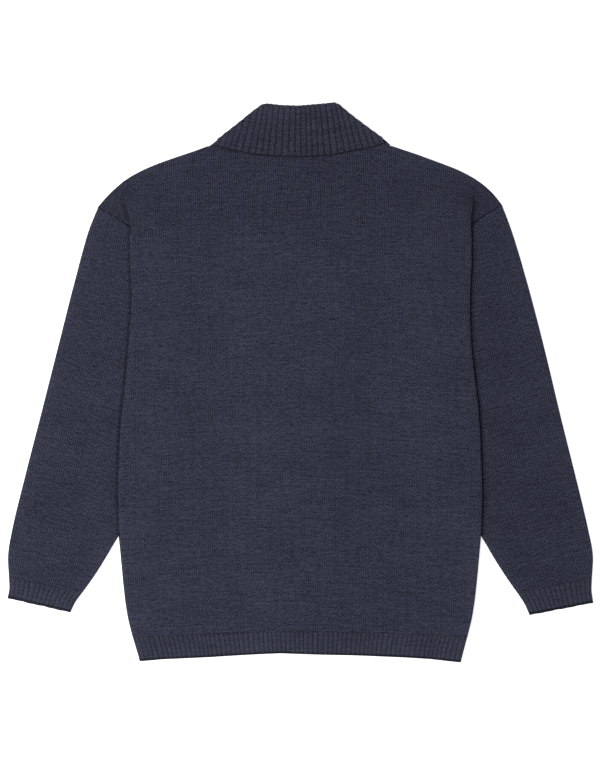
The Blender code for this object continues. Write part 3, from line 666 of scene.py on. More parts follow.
def creased(x, y, creases):
    """Height that the creases add at a place."""
    total = np.zeros_like(x)
    for x0, y0, x1, y1, width, depth in creases:
        run = np.array([x1 - x0, y1 - y0])
        length = np.linalg.norm(run)
        share = ((x - x0) * run[0] + (y - y0) * run[1]) / length ** 2
        away = ((x - x0) * run[1] - (y - y0) * run[0]) / length
        beyond = np.maximum(np.abs(share - 0.5) - 0.5, 0.0) * length
        total += depth * np.exp(-(away / width) ** 2 - (beyond / (1.5 * width)) ** 2)
    return total


print("deepest crease in mm:", min(crease[-1] for crease in BACK_CREASES + SLEEVE_CREASES))

# %% Points of the back panel
WALE = 3.05
COURSE = 3.0
BACK_ENDS = 10
BACK_FINER = 4


def crease_sheet(centre, creases, flip=1.0):
    """Move a grid of middle points up and down by its creases, where it faces up."""
    normal = np.cross(along(centre, 1, False)[0], along(centre, 0, False)[0])
    facing = np.clip(normal[:, :, 2] / np.linalg.norm(normal, axis=2), 0.0, 1.0)
    lifted = centre.copy()
    lifted[:, :, 2] += creased(flip * centre[:, :, 0], centre[:, :, 1], creases) * facing ** 4
    return lifted


back_rows = np.array([back_row(y, BACK_COLUMNS, back_shape) for y in BACK_ROWS])
back_centre = refine_grid(back_rows, 7, BACK_FINER)
back_stitches = counted(back_centre, WALE, COURSE)
from_left = walked(back_centre, 1)
print("the back's points:", back_centre.shape[:2])

# %% [markdown]
# ## The shoulders' outer corners
#
# On the body, columns of stitches run straight up. At the shoulder's outer corner the fold is
# open, and there they lie square to the sloping outline. The two directions are blended over a
# few centimetres beside the fold. The furrows show more in the corners and near the shoulders.

# %% Back panel
CORNER_FROM = 216.0
CORNER_OUTSIDE = 12.0


def turn_corner(stitches, side):
    """Lay the stitches of a shoulder's outer corner square to the outline above it."""
    s = sign(side)
    flat = back_centre[:, :, :2]
    fold = BACK_ENDS * BACK_FINER
    if side == "right":
        fold = flat.shape[1] - 1 - fold
    top = flat[-1, fold]
    tip = np.array([s * ARMHOLE_TIP[side][0], ARMHOLE_TIP[side][1]])
    run = s * (tip - top) / np.linalg.norm(tip - top)
    beyond = s * (from_left - from_left[:, fold:fold + 1])
    inside = 1.0 + 33.0 * smoothstep(245.0, 275.0, flat[:, :, 1])
    share = (smoothstep(-inside, CORNER_OUTSIDE, beyond)
             * smoothstep(CORNER_FROM - 2.0, CORNER_FROM, flat[:, :, 1]))
    lead = flat - top
    start = stitches[-1, fold]
    turned = np.stack([start[0] + (lead @ run) / WALE,
                       start[1] + (lead @ np.array([-run[1], run[0]])) / COURSE], axis=2)
    stitches += (turned - stitches) * share[:, :, None]


for side in SIDES:
    turn_corner(back_stitches, side)
back_x, back_y = back_centre[:, :, 0], back_centre[:, :, 1]
# Darker lines at the armhole seams where the rows end, and painted shadow under the collar's free
# edge.
from_side = 0.35 + np.minimum(from_left, from_left[:, -1:] - from_left)
in_corner = smoothstep(CORNER_FROM, 230.0, back_y) * smoothstep(225.0, 243.0, np.abs(back_x))
near_shoulder = 0.32 * smoothstep(150.0, 290.0, back_y)
under_collar = np.interp(back_x, COLLAR_FREE["x"], COLLAR_FREE["y"]) - back_y
beside_collar = np.maximum(np.abs(back_x) - 112.0, 0.0)
from_collar = 0.9 + 0.25 * np.abs(under_collar) + beside_collar
knit("back", crease_sheet(back_centre, BACK_CREASES), KNIT, back_stitches, upright=True,
     from_seam_and_shade=np.minimum(from_side, from_collar), opened=np.maximum(in_corner, near_shoulder))

# %% [markdown]
# ## Ribs
#
# A rib is one column of plain stitches that stands up between two that draw back, so its top
# is round and the furrow beside it is narrow. That is a sine raised to a small power. Handling
# makes some ribs a little wider than others. The ribbed hem has seventy of them. It carries on
# from the back's turned-under sides, which makes the small rolled corners at both its ends.

# %% Shape of the ribs
HEM_RIB_TOP = 0.5
RIB_COURSE = 2.6


def ribs(phase, height):
    """Height of the ribs, with a narrow furrow at each whole number."""
    return height * np.abs(np.sin(math.pi * phase)) ** 0.7


def uneven(phase, count):
    """Some ribs a little wider than others, with the same number of them in all."""
    inside = np.clip(phase, 0.0, count)
    ends = np.minimum(1.0, np.minimum(inside, count - inside) / 3.0)
    turn = 2 * math.pi * phase
    return phase + ends * (0.17 * np.sin(turn / 17.3 + 1.1) + 0.09 * np.sin(turn / 7.1))


def rib_stitches(centre, phase, closed=False):
    """Stitch counts with one rib across, and the rows of stitches up."""
    counts = counted(centre, 1.0, RIB_COURSE, closed)
    counts[:, :, 0] = phase[None, :]
    return counts


print("height of a rib a tenth of the way across:", round(float(ribs(0.1, HEM_RIB_TOP)), 2))

# %% Ribbed hem of the back
HEM_LOW_Y = -386.6
HEM_SHARES = np.array([0.0, 0.5, 1.0])
HEM_FINER = 4


def hem_row(share):
    """One row of the hem, from its lower edge to its seam."""
    y = HEM_LOW_Y + share * (HEM_SEAM_Y + LAP - HEM_LOW_Y)

    def shape(x, _y):
        low = np.interp(x, HEM["x"], HEM["y"]) - HEM_END_Y
        high = np.interp(x, RIB_SEAM["x"], RIB_SEAM["y"]) - HEM_SEAM_Y
        return float(low + share * (high - low))
    return back_row(y, 2 * HEM_RIBS + 1, shape, RIB, HEM_RADIUS)


hem_centre = np.array([hem_row(share) for share in HEM_SHARES])
hem_centre[:, :, 2] += CLEAR
to_right = (hem_centre[:, :, 0] - HEM["x"][0]) / (HEM["x"][-1] - HEM["x"][0])
tilt = (HEM["y"][-1] - HEM["y"][0]) * np.clip(to_right, 0.0, 1.0)
hem_centre[:, :, 1] += tilt * (1.0 - HEM_SHARES[:, None])
hem_centre = refine_grid(hem_centre, 6, HEM_FINER)
hem_phase = uneven((np.arange(hem_centre.shape[1]) / HEM_FINER - BACK_ENDS) / 2, HEM_RIBS)
hem_top = (hem_phase >= 0.0) & (hem_phase <= HEM_RIBS)
hem_rise = np.tile(ribs(hem_phase, HEM_RIB_TOP) * hem_top, (hem_centre.shape[0], 1))
# Painted shade along the hem's lower edge, where it rounds under, and a darker line at its seam.
from_lower = walked(hem_centre, 0)
from_hem_seam = 1.35 + 0.2 * (from_lower[-1:] - from_lower)
knit("back_hem", hem_centre, RIB, rib_stitches(hem_centre, hem_phase), rise=hem_rise,
     upright=True, from_seam_and_shade=np.minimum(0.42 * from_lower, from_hem_seam))

# %% [markdown]
# ## The fronts and their bands
#
# The fronts lie on the table, below everything. Each is knitted flat between its side, its
# shoulder and the seam to its band. The bands are ribbed strips that lap over each other down
# the middle and widen above the neck point into the two halves of the shawl collar. All of
# this is hidden from the camera, so it is kept plain and only as fine as it needs to be.

# %% Curves for plans
def spline(points):
    """A smooth curve through points, as a function of the share of its length."""
    points = np.asarray(points, dtype=float)
    steps = np.linalg.norm(np.diff(points, axis=0), axis=1)
    knots = np.concatenate([[0.0], np.cumsum(steps)])
    slopes = np.gradient(points, knots, axis=0)

    def at(share):
        length = share * knots[-1]
        k = int(np.clip(np.searchsorted(knots, length) - 1, 0, len(steps) - 1))
        h = knots[k + 1] - knots[k]
        s = (length - knots[k]) / h
        return ((1 + 2 * s) * (1 - s) ** 2 * points[k]
                + s * (1 - s) ** 2 * h * slopes[k]
                + s * s * (3 - 2 * s) * points[k + 1]
                + s * s * (s - 1) * h * slopes[k + 1])
    return at


def coons(bottom, top, start, end, shares_u, shares_v):
    """A grid of plan points between four curves that meet at their ends."""
    grid = np.zeros((len(shares_v), len(shares_u), 2))
    for j, v in enumerate(shares_v):
        for i, u in enumerate(shares_u):
            sides = (1 - u) * start(v) + u * end(v)
            rails = (1 - v) * bottom(u) + v * top(u)
            corners = ((1 - v) * ((1 - u) * bottom(0.0) + u * bottom(1.0))
                       + v * ((1 - u) * top(0.0) + u * top(1.0)))
            grid[j, i] = sides + rails - corners
    return grid


bow = spline([(0.0, 0.0), (1.0, 1.0), (2.0, 0.0)])
print("a bow through three points, a quarter of the way:", np.round(bow(0.25), 2).tolist())

# %% Plans of the fronts
FRONT_COLUMNS = 10


def front_plan(side):
    """Plan of a front panel: from its side to its band, and from its hem to its shoulder."""
    s = sign(side)
    tip, crossing = ARMHOLE_TIP[side], ARMHOLE_CROSSING[side]
    heights = (HEM_SEAM_Y, -315.8, -249.3, -216.0, -163.3, -91.3, -8.1, 58.4, 113.9, 174.8, 205.0)
    outside = [(s * side_width(side, y), y) for y in heights]
    outside.append((s * (crossing[0] + 1.0), crossing[1] + 1.5))
    outside.append((s * 0.5 * (crossing[0] + tip[0]), 0.5 * (crossing[1] + tip[1])))
    outside.append((s * tip[0], tip[1]))
    inside = [np.array([s * (seam_width(y) + SEAM), y]) for y in SEAM_ROWS]
    neck = tuple(inside[-1])
    outline = [(s * abs(x), y) for x, y in zip(SHOULDER["x"], SHOULDER["y"])
               if x * s > abs(neck[0]) + 8.0]
    outline.sort(key=lambda point: -abs(point[0]))
    top = spline([(s * tip[0], tip[1]), (s * 261.0, tip[1] + 22.0)] + outline + [neck])
    hem = np.array([outside[0], inside[0]])
    return coons(lambda u: (1 - u) * hem[0] + u * hem[1], top, spline(outside),
                 lambda v: inside[round(v * (len(SEAM_ROWS) - 1))],
                 np.linspace(0.0, 1.0, FRONT_COLUMNS), np.linspace(0.0, 1.0, len(SEAM_ROWS)))


def front_hem_plan(side):
    """Plan of the ribbed hem of a front."""
    s = sign(side)
    plan = np.zeros((2, FRONT_COLUMNS, 2))
    for j in (0, 1):
        edge = side_width(side, HEM_END_Y + j * (HEM_SEAM_Y - SEAM - HEM_END_Y))
        for i, u in enumerate(np.linspace(0.0, 1.0, FRONT_COLUMNS)):
            x = s * (edge + u * (BAND_WIDTH / 2 + SEAM - edge))
            low = np.interp(x, HEM["x"], HEM["y"])
            high = HEM_SEAM_Y + u * (SEAM_ROWS[0] - HEM_SEAM_Y) - SEAM
            plan[j, i] = (x, low + j * (high - low))
    return plan


# %% Fronts
BESIDE_BAND = 55.0
RIB_WIDTH = 6.2


def lie(plan, side, thickness, trim):
    """Lay a front's plan on the table, lifted beside its band."""
    low = np.zeros(plan.shape[:2])
    for j in range(plan.shape[0]):
        for i in range(plan.shape[1]):
            x, y = plan[j, i]
            away = abs(x) - seam_width(y)
            lift = max(band_height(y, side == "right") - RIB / 2 + trim, 0.0)
            low[j, i] = lift * float(1.0 - smoothstep(0.0, BESIDE_BAND, away))
    return np.concatenate([plan, low[:, :, None] + thickness / 2], axis=2)


for side in SIDES:
    for name, plan, thickness, trim, finer in (
            ("front_", front_plan(side), KNIT, CLEAR, 5),
            ("front_hem_", front_hem_plan(side), RIB, 0.0, 8)):
        if side == "right":
            plan = plan[:, ::-1]
        centre = refine_grid(lie(plan, side, thickness, trim), finer, finer)
        unit = WALE if thickness == KNIT else RIB_WIDTH
        knit(name + side, centre, thickness, counted(centre, unit, COURSE))

# %% Front bands and shawl collar
BAND_FINER = 6
BAND_WALL = RIB - 0.2


def band_plan(side):
    """Middle points of one band, up to the folded collar's outline."""
    over = side == "right"
    s = sign(side)
    foot = float(np.interp(s * BAND_WIDTH / 2, HEM["x"], HEM["y"]))
    heights = (foot,) + SEAM_ROWS
    grid = np.zeros((len(heights), 2 * BAND_RIBS + 1, 3))
    for j, y in enumerate(heights):
        share = float(smoothstep(NECK_POINT_Y, SEAM_ROWS[-1], y))
        seam = np.array([s * seam_width(y), y])
        free = np.array([s * read(SHAWL, y, "free"), y + share * SHAWL_RISE])
        start, end = (seam, free) if side == "left" else (free, seam)
        for i in range(grid.shape[1]):
            x, level = start + (end - start) * i / (grid.shape[1] - 1)
            if j == len(heights) - 1:
                level = float(np.interp(x, COLLAR_TOP["x"], COLLAR_TOP["y"])) - 0.5
            grid[j, i] = (x, level, band_height(level, over) - (RIB - BAND_WALL) / 2)
    return grid


for side, name in (("left", "buttonhole_strip"), ("right", "button_strip")):
    centre = refine_grid(band_plan(side), 4, BAND_FINER)
    phase = np.arange(centre.shape[1]) / BAND_FINER / 2
    knit(name, centre, BAND_WALL, rib_stitches(centre, phase))

# %% [markdown]
# ## Sleeves and cuffs
#
# A sleeve is a tube that lies flat: an upper and a lower layer that turn into each other at
# both edges. Its upper edge is the armhole seam, and it narrows in a curve to its cuff, so the
# columns of stitches run beside its outer edge and end at the seam below. The cuffs are
# ribbed tubes of the same kind. At their openings the lower layer looks out a little.

# %% Flattened tubes
TURN_STEPS = (1, 2, 3)


def square_to(edge, j, outward):
    """Direction across an edge at one of its points, on the outward side."""
    step = edge[min(j + 1, len(edge) - 1)] - edge[max(j - 1, 0)]
    normal = np.array([-step[1], step[0]]) / np.linalg.norm(step)
    return normal if normal @ outward > 0 else -normal


def tube(plan, lower, thickness, gap):
    """Rings of middle points: the upper layer, a turn, the lower layer and a turn."""
    radius = (thickness + gap) / 2
    rings = []
    for j in range(plan.shape[0]):
        ring = []
        first, last = plan[j, 0], plan[j, -1]
        out_first = square_to(plan[:, 0], j, first - plan[j, 1])
        out_last = square_to(plan[:, -1], j, last - plan[j, -2])
        for i in range(plan.shape[1]):
            ring.append((*plan[j, i], lower[j, i] + 2 * radius))
        for k in TURN_STEPS:
            angle = math.pi * k / 4
            place = last + out_last * radius * math.sin(angle)
            ring.append((*place, lower[j, -1] + radius * (1 + math.cos(angle))))
        for i in range(plan.shape[1] - 1, -1, -1):
            ring.append((*plan[j, i], lower[j, i]))
        for k in TURN_STEPS[::-1]:
            angle = math.pi * k / 4
            place = first + out_first * radius * math.sin(angle)
            ring.append((*place, lower[j, 0] + radius * (1 + math.cos(angle))))
        rings.append(ring)
    return np.array(rings)


def from_shoulder(seam):
    """Unit step across a seam, chosen to point away from the shoulder."""
    normal = np.array([seam[1], -seam[0]])
    return -normal if normal[1] > 0 else normal


print("a tube's turn has", len(TURN_STEPS), "points between its layers")

# %% Sleeves
SLEEVE_COLUMNS = 8
SLEEVE_ROWS = 17
SLEEVE_FINER = 6
# How far the sleeves' furrows are pulled open, which deepens their painted shade.
SLEEVE_OPENED_AND_SHADED = 0.21
# Shade on a sleeve beside the fold over it: its depth at the fold, and how it fades away.
FOLD_SHADE = {"left": (0.8, 0.16), "right": (0.85, 0.075)}


def sleeve_plan(side):
    """Plan of a flattened sleeve, from its cuff seam to its armhole."""
    s = sign(side)
    inset = (KNIT + SLEEVE_GAP) / 2 + KNIT / 2
    tip = np.array(ARMHOLE_TIP[side])
    crossing = np.array(ARMHOLE_CROSSING[side])
    seam = (crossing - tip) / np.linalg.norm(crossing - tip)
    away = -from_shoulder(seam) * LAP
    outer = [(x - inset, y) for x, y in zip(SLEEVE_OUTER[side], SLEEVE_OUTER["y"])]
    outer_seam, _, _, inner_seam = [np.array(p) for p in CUFF[side]]
    line = (inner_seam - outer_seam) / np.linalg.norm(inner_seam - outer_seam)
    lift = from_shoulder(line) * LAP
    outer[0] = tuple(outer_seam + line * inset + lift)
    corner = tip + away + seam * inset
    outer.append(tuple(corner))
    inner = [(x + inset, y) for x, y in zip(SLEEVE_INNER[side], SLEEVE_INNER["y"])]
    inner[0] = tuple(inner_seam - line * inset + lift)
    top = [tuple(corner), tuple(0.5 * (tip + crossing) + away), tuple(crossing + away)]
    top += list(zip(ARMHOLE_HIDDEN["x"], ARMHOLE_HIDDEN["y"]))
    top[-1] = inner[-1]
    lines = ([outer[0], inner[0]], top, outer, inner)
    curves = [spline([(s * x, y) for x, y in line]) for line in lines]
    return coons(*curves, np.linspace(0.0, 1.0, SLEEVE_COLUMNS), np.linspace(0.0, 1.0, SLEEVE_ROWS))


def sleeve_stitches(centre, side):
    """Stitch counts that run straight beside the sleeve's outer edge."""
    cuff, tip = np.array(CUFF[side][0]), np.array(ARMHOLE_TIP[side])
    up = (tip - cuff) / np.linalg.norm(tip - cuff)
    ring = np.concatenate([centre, centre[:, :1]], axis=1)
    x, y = sign(side) * ring[:, :, 0] - cuff[0], ring[:, :, 1] - cuff[1]
    return np.stack([(x * up[1] - y * up[0]) / WALE, (x * up[0] + y * up[1]) / COURSE], axis=2)


for side in SIDES:
    plan = sleeve_plan(side)
    lower = np.array([[FRONT_Z + SLEEVE_LIFT * over_front(side, x, y) for x, y in row]
                      for row in plan])
    centre = tube(plan, lower, KNIT, SLEEVE_GAP)
    if side == "right":
        centre = centre[::-1]
    centre = refine_grid(centre, 7, SLEEVE_FINER, closed=True)
    from_cuff = walked(centre, 0)
    # A darker line at the armhole seam, and painted shadow on the sleeve beside the back's fold.
    from_top = 0.35 + (from_cuff if side == "right" else from_cuff[-1:] - from_cuff)
    fold = np.interp(centre[:, :, 1], BODY_SIDE["y"], BODY_SIDE[side])
    depth, fade = FOLD_SHADE[side]
    from_fold = depth + fade * np.abs(np.abs(centre[:, :, 0]) - fold)
    knit("sleeve_cloth_" + side, crease_sheet(centre, SLEEVE_CREASES, flip=sign(side)), KNIT,
         sleeve_stitches(centre, side), closed=True, from_seam_and_shade=np.minimum(from_top, from_fold),
         opened=np.full(centre.shape[:2], SLEEVE_OPENED_AND_SHADED))

# %% Cuffs
CUFF_FINER = 4
CUFF_WAIST = 1.3
LOOK_OUT = 2.5
LOOK_OUT_SWAY = 0.4
TURN_SHARES = [0.3, 0.7, 0.95]


def cuff_plan(side):
    """Plan of a flattened cuff, from its open end to its seam."""
    s = sign(side)
    inset = (RIB + SLEEVE_GAP) / 2 + RIB / 2
    outer_seam, outer_end, inner_end, inner_seam = [np.array(p) for p in CUFF[side]]
    line = (inner_end - outer_end) / np.linalg.norm(inner_end - outer_end)
    columns = 2 * CUFF_RIBS + 1
    plan = np.zeros((3, columns, 2))
    for j, v in enumerate((0.0, 0.5, 1.0)):
        waist = CUFF_WAIST * math.sin(math.pi * v)
        first = outer_end + v * (outer_seam - outer_end) + line * (inset + waist)
        last = inner_end + v * (inner_seam - inner_end) - line * (inset + waist)
        for i in range(columns):
            place = first + (last - first) * i / (columns - 1)
            plan[j, i] = (s * place[0], place[1])
    return plan


for side in SIDES:
    plan = cuff_plan(side)
    columns = plan.shape[1]
    centre = tube(plan, np.full(plan.shape[:2], RIB / 2), RIB, SLEEVE_GAP)
    end = centre[0, :, :2] - centre[1, :, :2]
    below = np.array([0.0] * columns + TURN_SHARES + [1.0] * columns + TURN_SHARES[::-1])
    number = np.arange(len(below))
    sway = np.sin(0.9 * number) * np.sin(0.37 * number + 1.0)
    look_out = below * (LOOK_OUT + LOOK_OUT_SWAY * sway)
    centre[0, :, :2] += look_out[:, None] * end / np.linalg.norm(end, axis=1, keepdims=True)
    if side == "right":
        centre = centre[::-1]
    centre = refine_grid(centre, 6, CUFF_FINER, closed=True)
    phase = np.arange(centre.shape[1] + 1) / CUFF_FINER / 2
    upper = phase <= CUFF_RIBS
    phase = np.where(upper, uneven(phase, CUFF_RIBS), phase)
    rise = np.tile((ribs(phase, HEM_RIB_TOP) * upper)[:-1], (centre.shape[0], 1))
    # Painted shade at the cuff's open end.
    from_seam = walked(centre, 0)
    from_end = from_seam[-1:] - from_seam if side == "right" else from_seam
    knit("cuff_cloth_" + side, centre, RIB, rib_stitches(centre, phase, closed=True), rise=rise,
         closed=True, from_seam_and_shade=0.8 * from_end)

# %% [markdown]
# ## The collar
#
# At the back of the neck the shawl collar stands up, folds over along the garment's upper
# outline and falls again. Its ribs stand closer together at the fold than at the free edge,
# so they fan out. Every rib is a line from the free edge up to the fold. The last line at each
# end lies 5 mm further out, on thinner cloth, so the collar runs out flat on the shoulder.

# %% Lines of the collar
COLLAR_REACH = COLLAR_HALF + COLLAR_END
rib_lines = np.linspace(-COLLAR_HALF, COLLAR_HALF, 2 * COLLAR_RIBS + 1)
COLLAR_LOWS = np.concatenate([[-COLLAR_REACH], rib_lines, [COLLAR_REACH]])
COLLAR_WALL = np.interp(np.abs(COLLAR_LOWS), (COLLAR_HALF - 10.0, COLLAR_REACH), (RIB, 0.6 * RIB))


def leaned(low_x, y):
    """Where a rib line that starts at low_x is at a height."""
    return low_x * (1.0 - COLLAR_FAN * (y - COLLAR_FREE_Y) / COLLAR_FALL)


def collar_column(low_x):
    """Where one rib line starts on the free edge and ends on the folded outline."""
    free_x = low_x
    for _ in range(20):
        free_y = float(np.interp(free_x, COLLAR_FREE["x"], COLLAR_FREE["y"]))
        free_x = leaned(low_x, free_y)
    low, high = free_y, COLLAR_HIGHEST
    for _ in range(40):
        y = 0.5 * (low + high)
        if float(np.interp(leaned(low_x, y), COLLAR_TOP["x"], COLLAR_TOP["y"])) > y:
            low = y
        else:
            high = y
    return np.array([free_x, free_y]), np.array([leaned(low_x, y), y])


print("the middle rib ends at", np.round(collar_column(0.0)[1], 1).tolist())

# %% Collar
FALL_SHARES = (0.0, 0.2, 0.45, 0.7, 1.0)
STAND_SHARES = (0.0, 0.5, 1.0)
STAND_SPREAD = 1.04
COLLAR_FINER = 4
COLLAR_ROWS_FINER = 5
COLLAR_RIB_TOP = 0.65


def collar_grid():
    """Middle points of the collar: its fall, its fold and its stand, one column to a line."""
    lines = [collar_column(x) for x in COLLAR_LOWS]
    crowns = np.array([crown for _, crown in lines])
    back_x = np.linspace(SHOULDER["x"][0], SHOULDER["x"][-1], BACK_COLUMNS)
    back_y = np.interp(back_x, SHOULDER["x"], SHOULDER["y"])
    grid = []
    for i, (foot, crown) in enumerate(lines):
        out = square_to(crowns, i, np.array([0.0, 1.0]))
        wall = COLLAR_WALL[i]
        radius = (wall + COLLAR_GAP * wall / RIB) / 2
        rim = crown - out * (radius + wall / 2)
        line = [(*(foot + (rim - foot) * share), STAND_Z + 2 * radius)
                for share in FALL_SHARES]
        for k in TURN_STEPS:
            angle = math.pi * k / 4
            place = rim + out * radius * math.sin(angle)
            line.append((*place, STAND_Z + radius * (1 + math.cos(angle))))
        neck_x = rim[0] * STAND_SPREAD
        neck_y = float(np.interp(neck_x, back_x, back_y)) + SEAM + 0.1
        neck = np.array([neck_x, min(neck_y, rim[1] - 1.0)])
        line += [(*(rim + (neck - rim) * share), STAND_Z) for share in STAND_SHARES]
        grid.append(line)
    return np.array(grid).transpose(1, 0, 2)


collar_centre = refine_grid(collar_grid(), COLLAR_ROWS_FINER, COLLAR_FINER)
collar_wall = refine(COLLAR_WALL[:, None, None], COLLAR_FINER)[:, 0, 0]
collar_phase = uneven(np.arange(collar_centre.shape[1]) / COLLAR_FINER / 2 - 0.5, COLLAR_RIBS)
collar_rise = np.tile(ribs(collar_phase, COLLAR_RIB_TOP), (collar_centre.shape[0], 1))
collar_rise[COLLAR_ROWS_FINER * (len(FALL_SHARES) + 1) + 1:] = 0.0
# Painted shade along the collar's free edge, and its mark for open furrows paints shade over all
# its ribs.
knit("collar_cloth", collar_centre, collar_wall, rib_stitches(collar_centre, collar_phase),
     rise=collar_rise, from_seam_and_shade=walked(collar_centre, 0), opened=np.ones(collar_rise.shape))

# %% [markdown]
# ## Writing a material as sums
#
# A knitted surface is easiest to say as a formula over counted stitches. The small class below
# wraps one socket of a shader, so that ordinary sums in Python add the Math nodes they need.
# Every other node comes from its one method, which takes the node's settings and its inputs.

# %% A socket that can be used in sums
class Wire:
    """One output socket of a material's nodes."""

    def __init__(self, tree, socket=None):
        self.tree = tree
        self.socket = socket

    def plug(self, socket, value):
        """Join a wire to a socket, or set the socket to a plain value."""
        if isinstance(value, Wire):
            self.tree.links.new(value.socket, socket)
        else:
            socket.default_value = value

    def node(self, kind, settings=None, inputs=None, output=0):
        """Add a node: its settings first, and then its inputs."""
        made = self.tree.nodes.new(kind)
        for name, value in (settings or {}).items():
            setattr(made, name, value)
        for name, value in (inputs or {}).items():
            self.plug(made.inputs[name], value)
        return Wire(self.tree, made.outputs[output])

    def maths(self, operation, *values, clamp=False):
        """Add one Math node."""
        settings = {"operation": operation, "use_clamp": clamp}
        return self.node("ShaderNodeMath", settings, dict(enumerate(values)))

    def __add__(self, other):
        return self.maths("ADD", self, other)

    def __radd__(self, other):
        return self.maths("ADD", other, self)

    def __sub__(self, other):
        return self.maths("SUBTRACT", self, other)

    def __rsub__(self, other):
        return self.maths("SUBTRACT", other, self)

    def __mul__(self, other):
        return self.maths("MULTIPLY", self, other)

    def __rmul__(self, other):
        return self.maths("MULTIPLY", other, self)

    def __truediv__(self, other):
        return self.maths("DIVIDE", self, other)

    def __rtruediv__(self, other):
        return self.maths("DIVIDE", other, self)

    def __pow__(self, other):
        return self.maths("POWER", self, other)

    def __rpow__(self, other):
        return self.maths("POWER", other, self)

    def part(self):
        """What is left over a whole number."""
        return self.maths("FRACT", self)

    def size(self):
        """The value without its sign."""
        return self.maths("ABSOLUTE", self)

    def hump(self):
        """One hump from each whole number to the next."""
        return self.maths("SINE", self * math.pi).size()

    def eased(self, low, high):
        """0 below low, 1 above high and smooth between."""
        settings = {"interpolation_type": "SMOOTHSTEP"}
        return self.node("ShaderNodeMapRange", settings,
                         {"Value": self, "From Min": low, "From Max": high})


def mixed(share, first, second):
    """A colour between two colours."""
    return share.node("ShaderNodeMix", {"data_type": "RGBA"},
                      {"Factor": share, "A": first, "B": second}, output="Result")


def new_material(name):
    """An empty material with its shader and a wire to build from."""
    made = bpy.data.materials.new(name)
    made.use_nodes = True
    shader = made.node_tree.nodes["Principled BSDF"]
    return made, shader, Wire(made.node_tree)


print("a wire's own methods:", [name for name in vars(Wire) if not name.startswith("_")])

# %% [markdown]
# ## The knitting
#
# Plain knitting shows columns of small Vs. Each V has two legs of yarn that lean outwards, so a
# point's height depends on how far it is from the middle of its column, and on where it is in
# its row, which rises along the leg. The height makes the bump, and it also lightens the colour
# on the legs while the furrows darken it, which is painted shade of the stitches' relief. In
# patches the columns stand out more. The yarn is spun from fibres dyed in two close navies, which
# shows as short and long streaks that run along the rows, and as a fine grain. A painted rim
# light lightens the colour beside the outline, and wool scatters light in its fuzz, which is the
# sheen.

# %% Parts of a knitted surface
def noise(wire, across, up, scale, detail=2.0, seed=0.0, roughness=0.5):
    """Noise over counted stitches, from 0 to 1."""
    place = wire.node("ShaderNodeCombineXYZ", None, {"X": across, "Y": up, "Z": seed})
    return wire.node("ShaderNodeTexNoise", {"noise_dimensions": "3D"},
                     {"Vector": place, "Scale": scale, "Detail": detail, "Roughness": roughness})


def stitch_counts(wire):
    """The two stitch counts of the surface, as wires."""
    counts = wire.node("ShaderNodeUVMap", {"uv_map": "stitches"})
    place = {"Vector": counts}
    return (wire.node("ShaderNodeSeparateXYZ", None, place, "X"),
            wire.node("ShaderNodeSeparateXYZ", None, place, "Y"))


def vees(side, up, lean=0.55):
    """Height of the legs of the Vs: side is 0 in the middle of a column and 1 at its edge."""
    leg = 1.0 - (2.0 * side - 1.0) ** 2.0
    return leg * (0.35 + 0.65 * (up - lean * side).hump())


def attribute(wire, name):
    """A value kept on the piece's points."""
    return wire.node("ShaderNodeAttribute", {"attribute_name": name}, None, "Fac")


def plain_furrows(wire, across, up, from_middle):
    """Where a column's legs end, and its furrows with painted shade: faint, but clear in patches
    and where pulled open.
    """
    patches = noise(wire, across * 0.09, up * 0.12, 1.0, seed=9.0).eased(0.48, 0.66)
    depth = 0.12 + 0.45 * patches + 1.30 * attribute(wire, "opened")
    return from_middle, from_middle.eased(0.50, 1.0) * depth - 0.07 * patches


def rib_furrows(wire, _across, _up, from_middle):
    """The same for a rib, whose stitch ends well before the raised shape's own furrow; where pulled
    open, painted shade darkens all of it.
    """
    side = wire.maths("MINIMUM", from_middle / 0.72, 1.0)
    return side, from_middle.eased(0.45, 1.0) * 0.15 + 0.10 * attribute(wire, "opened")


print("furrows come from", plain_furrows.__name__, "and", rib_furrows.__name__)

# %% [markdown]
# ## Tone
#
# The tone is 0 where the wool is darkest and 1 where it is lightest. It is a sum. Every part
# of it has a weight, found by setting the render beside the picture, crop by crop.

# %% Knit and rib materials
STREAKS = 0.90
LONG_STREAKS = 0.55
CLOUDS = 0.25
# Darker seams, and painted shade at some edges and beside folds.
EDGE_SHADE = 0.80
DARK_EDGE = 0.2
# Painted rim light near the outline, and how fast its two parts fade per millimetre.
PAINTED_RIM_LIGHT = 0.10
PAINTED_RIM_LIGHT_FADES = (-0.17, -0.04)
# Middle tone, weights of the stitches' painted relief shade and of the fibres, noise to a stitch
# across, and where in millimetres the shade of an edge has faded away.
PLAIN = {"base": 0.455, "stitch": 0.60, "fibres": 2.6,
         "streaks": 0.40, "grain": 1.8, "clouds": 0.04, "edge": 1.6}
RIBBED = {"base": 0.475, "stitch": 0.30, "fibres": 2.1,
          "streaks": 1.00, "grain": 3.8, "clouds": 0.12, "edge": 2.0}


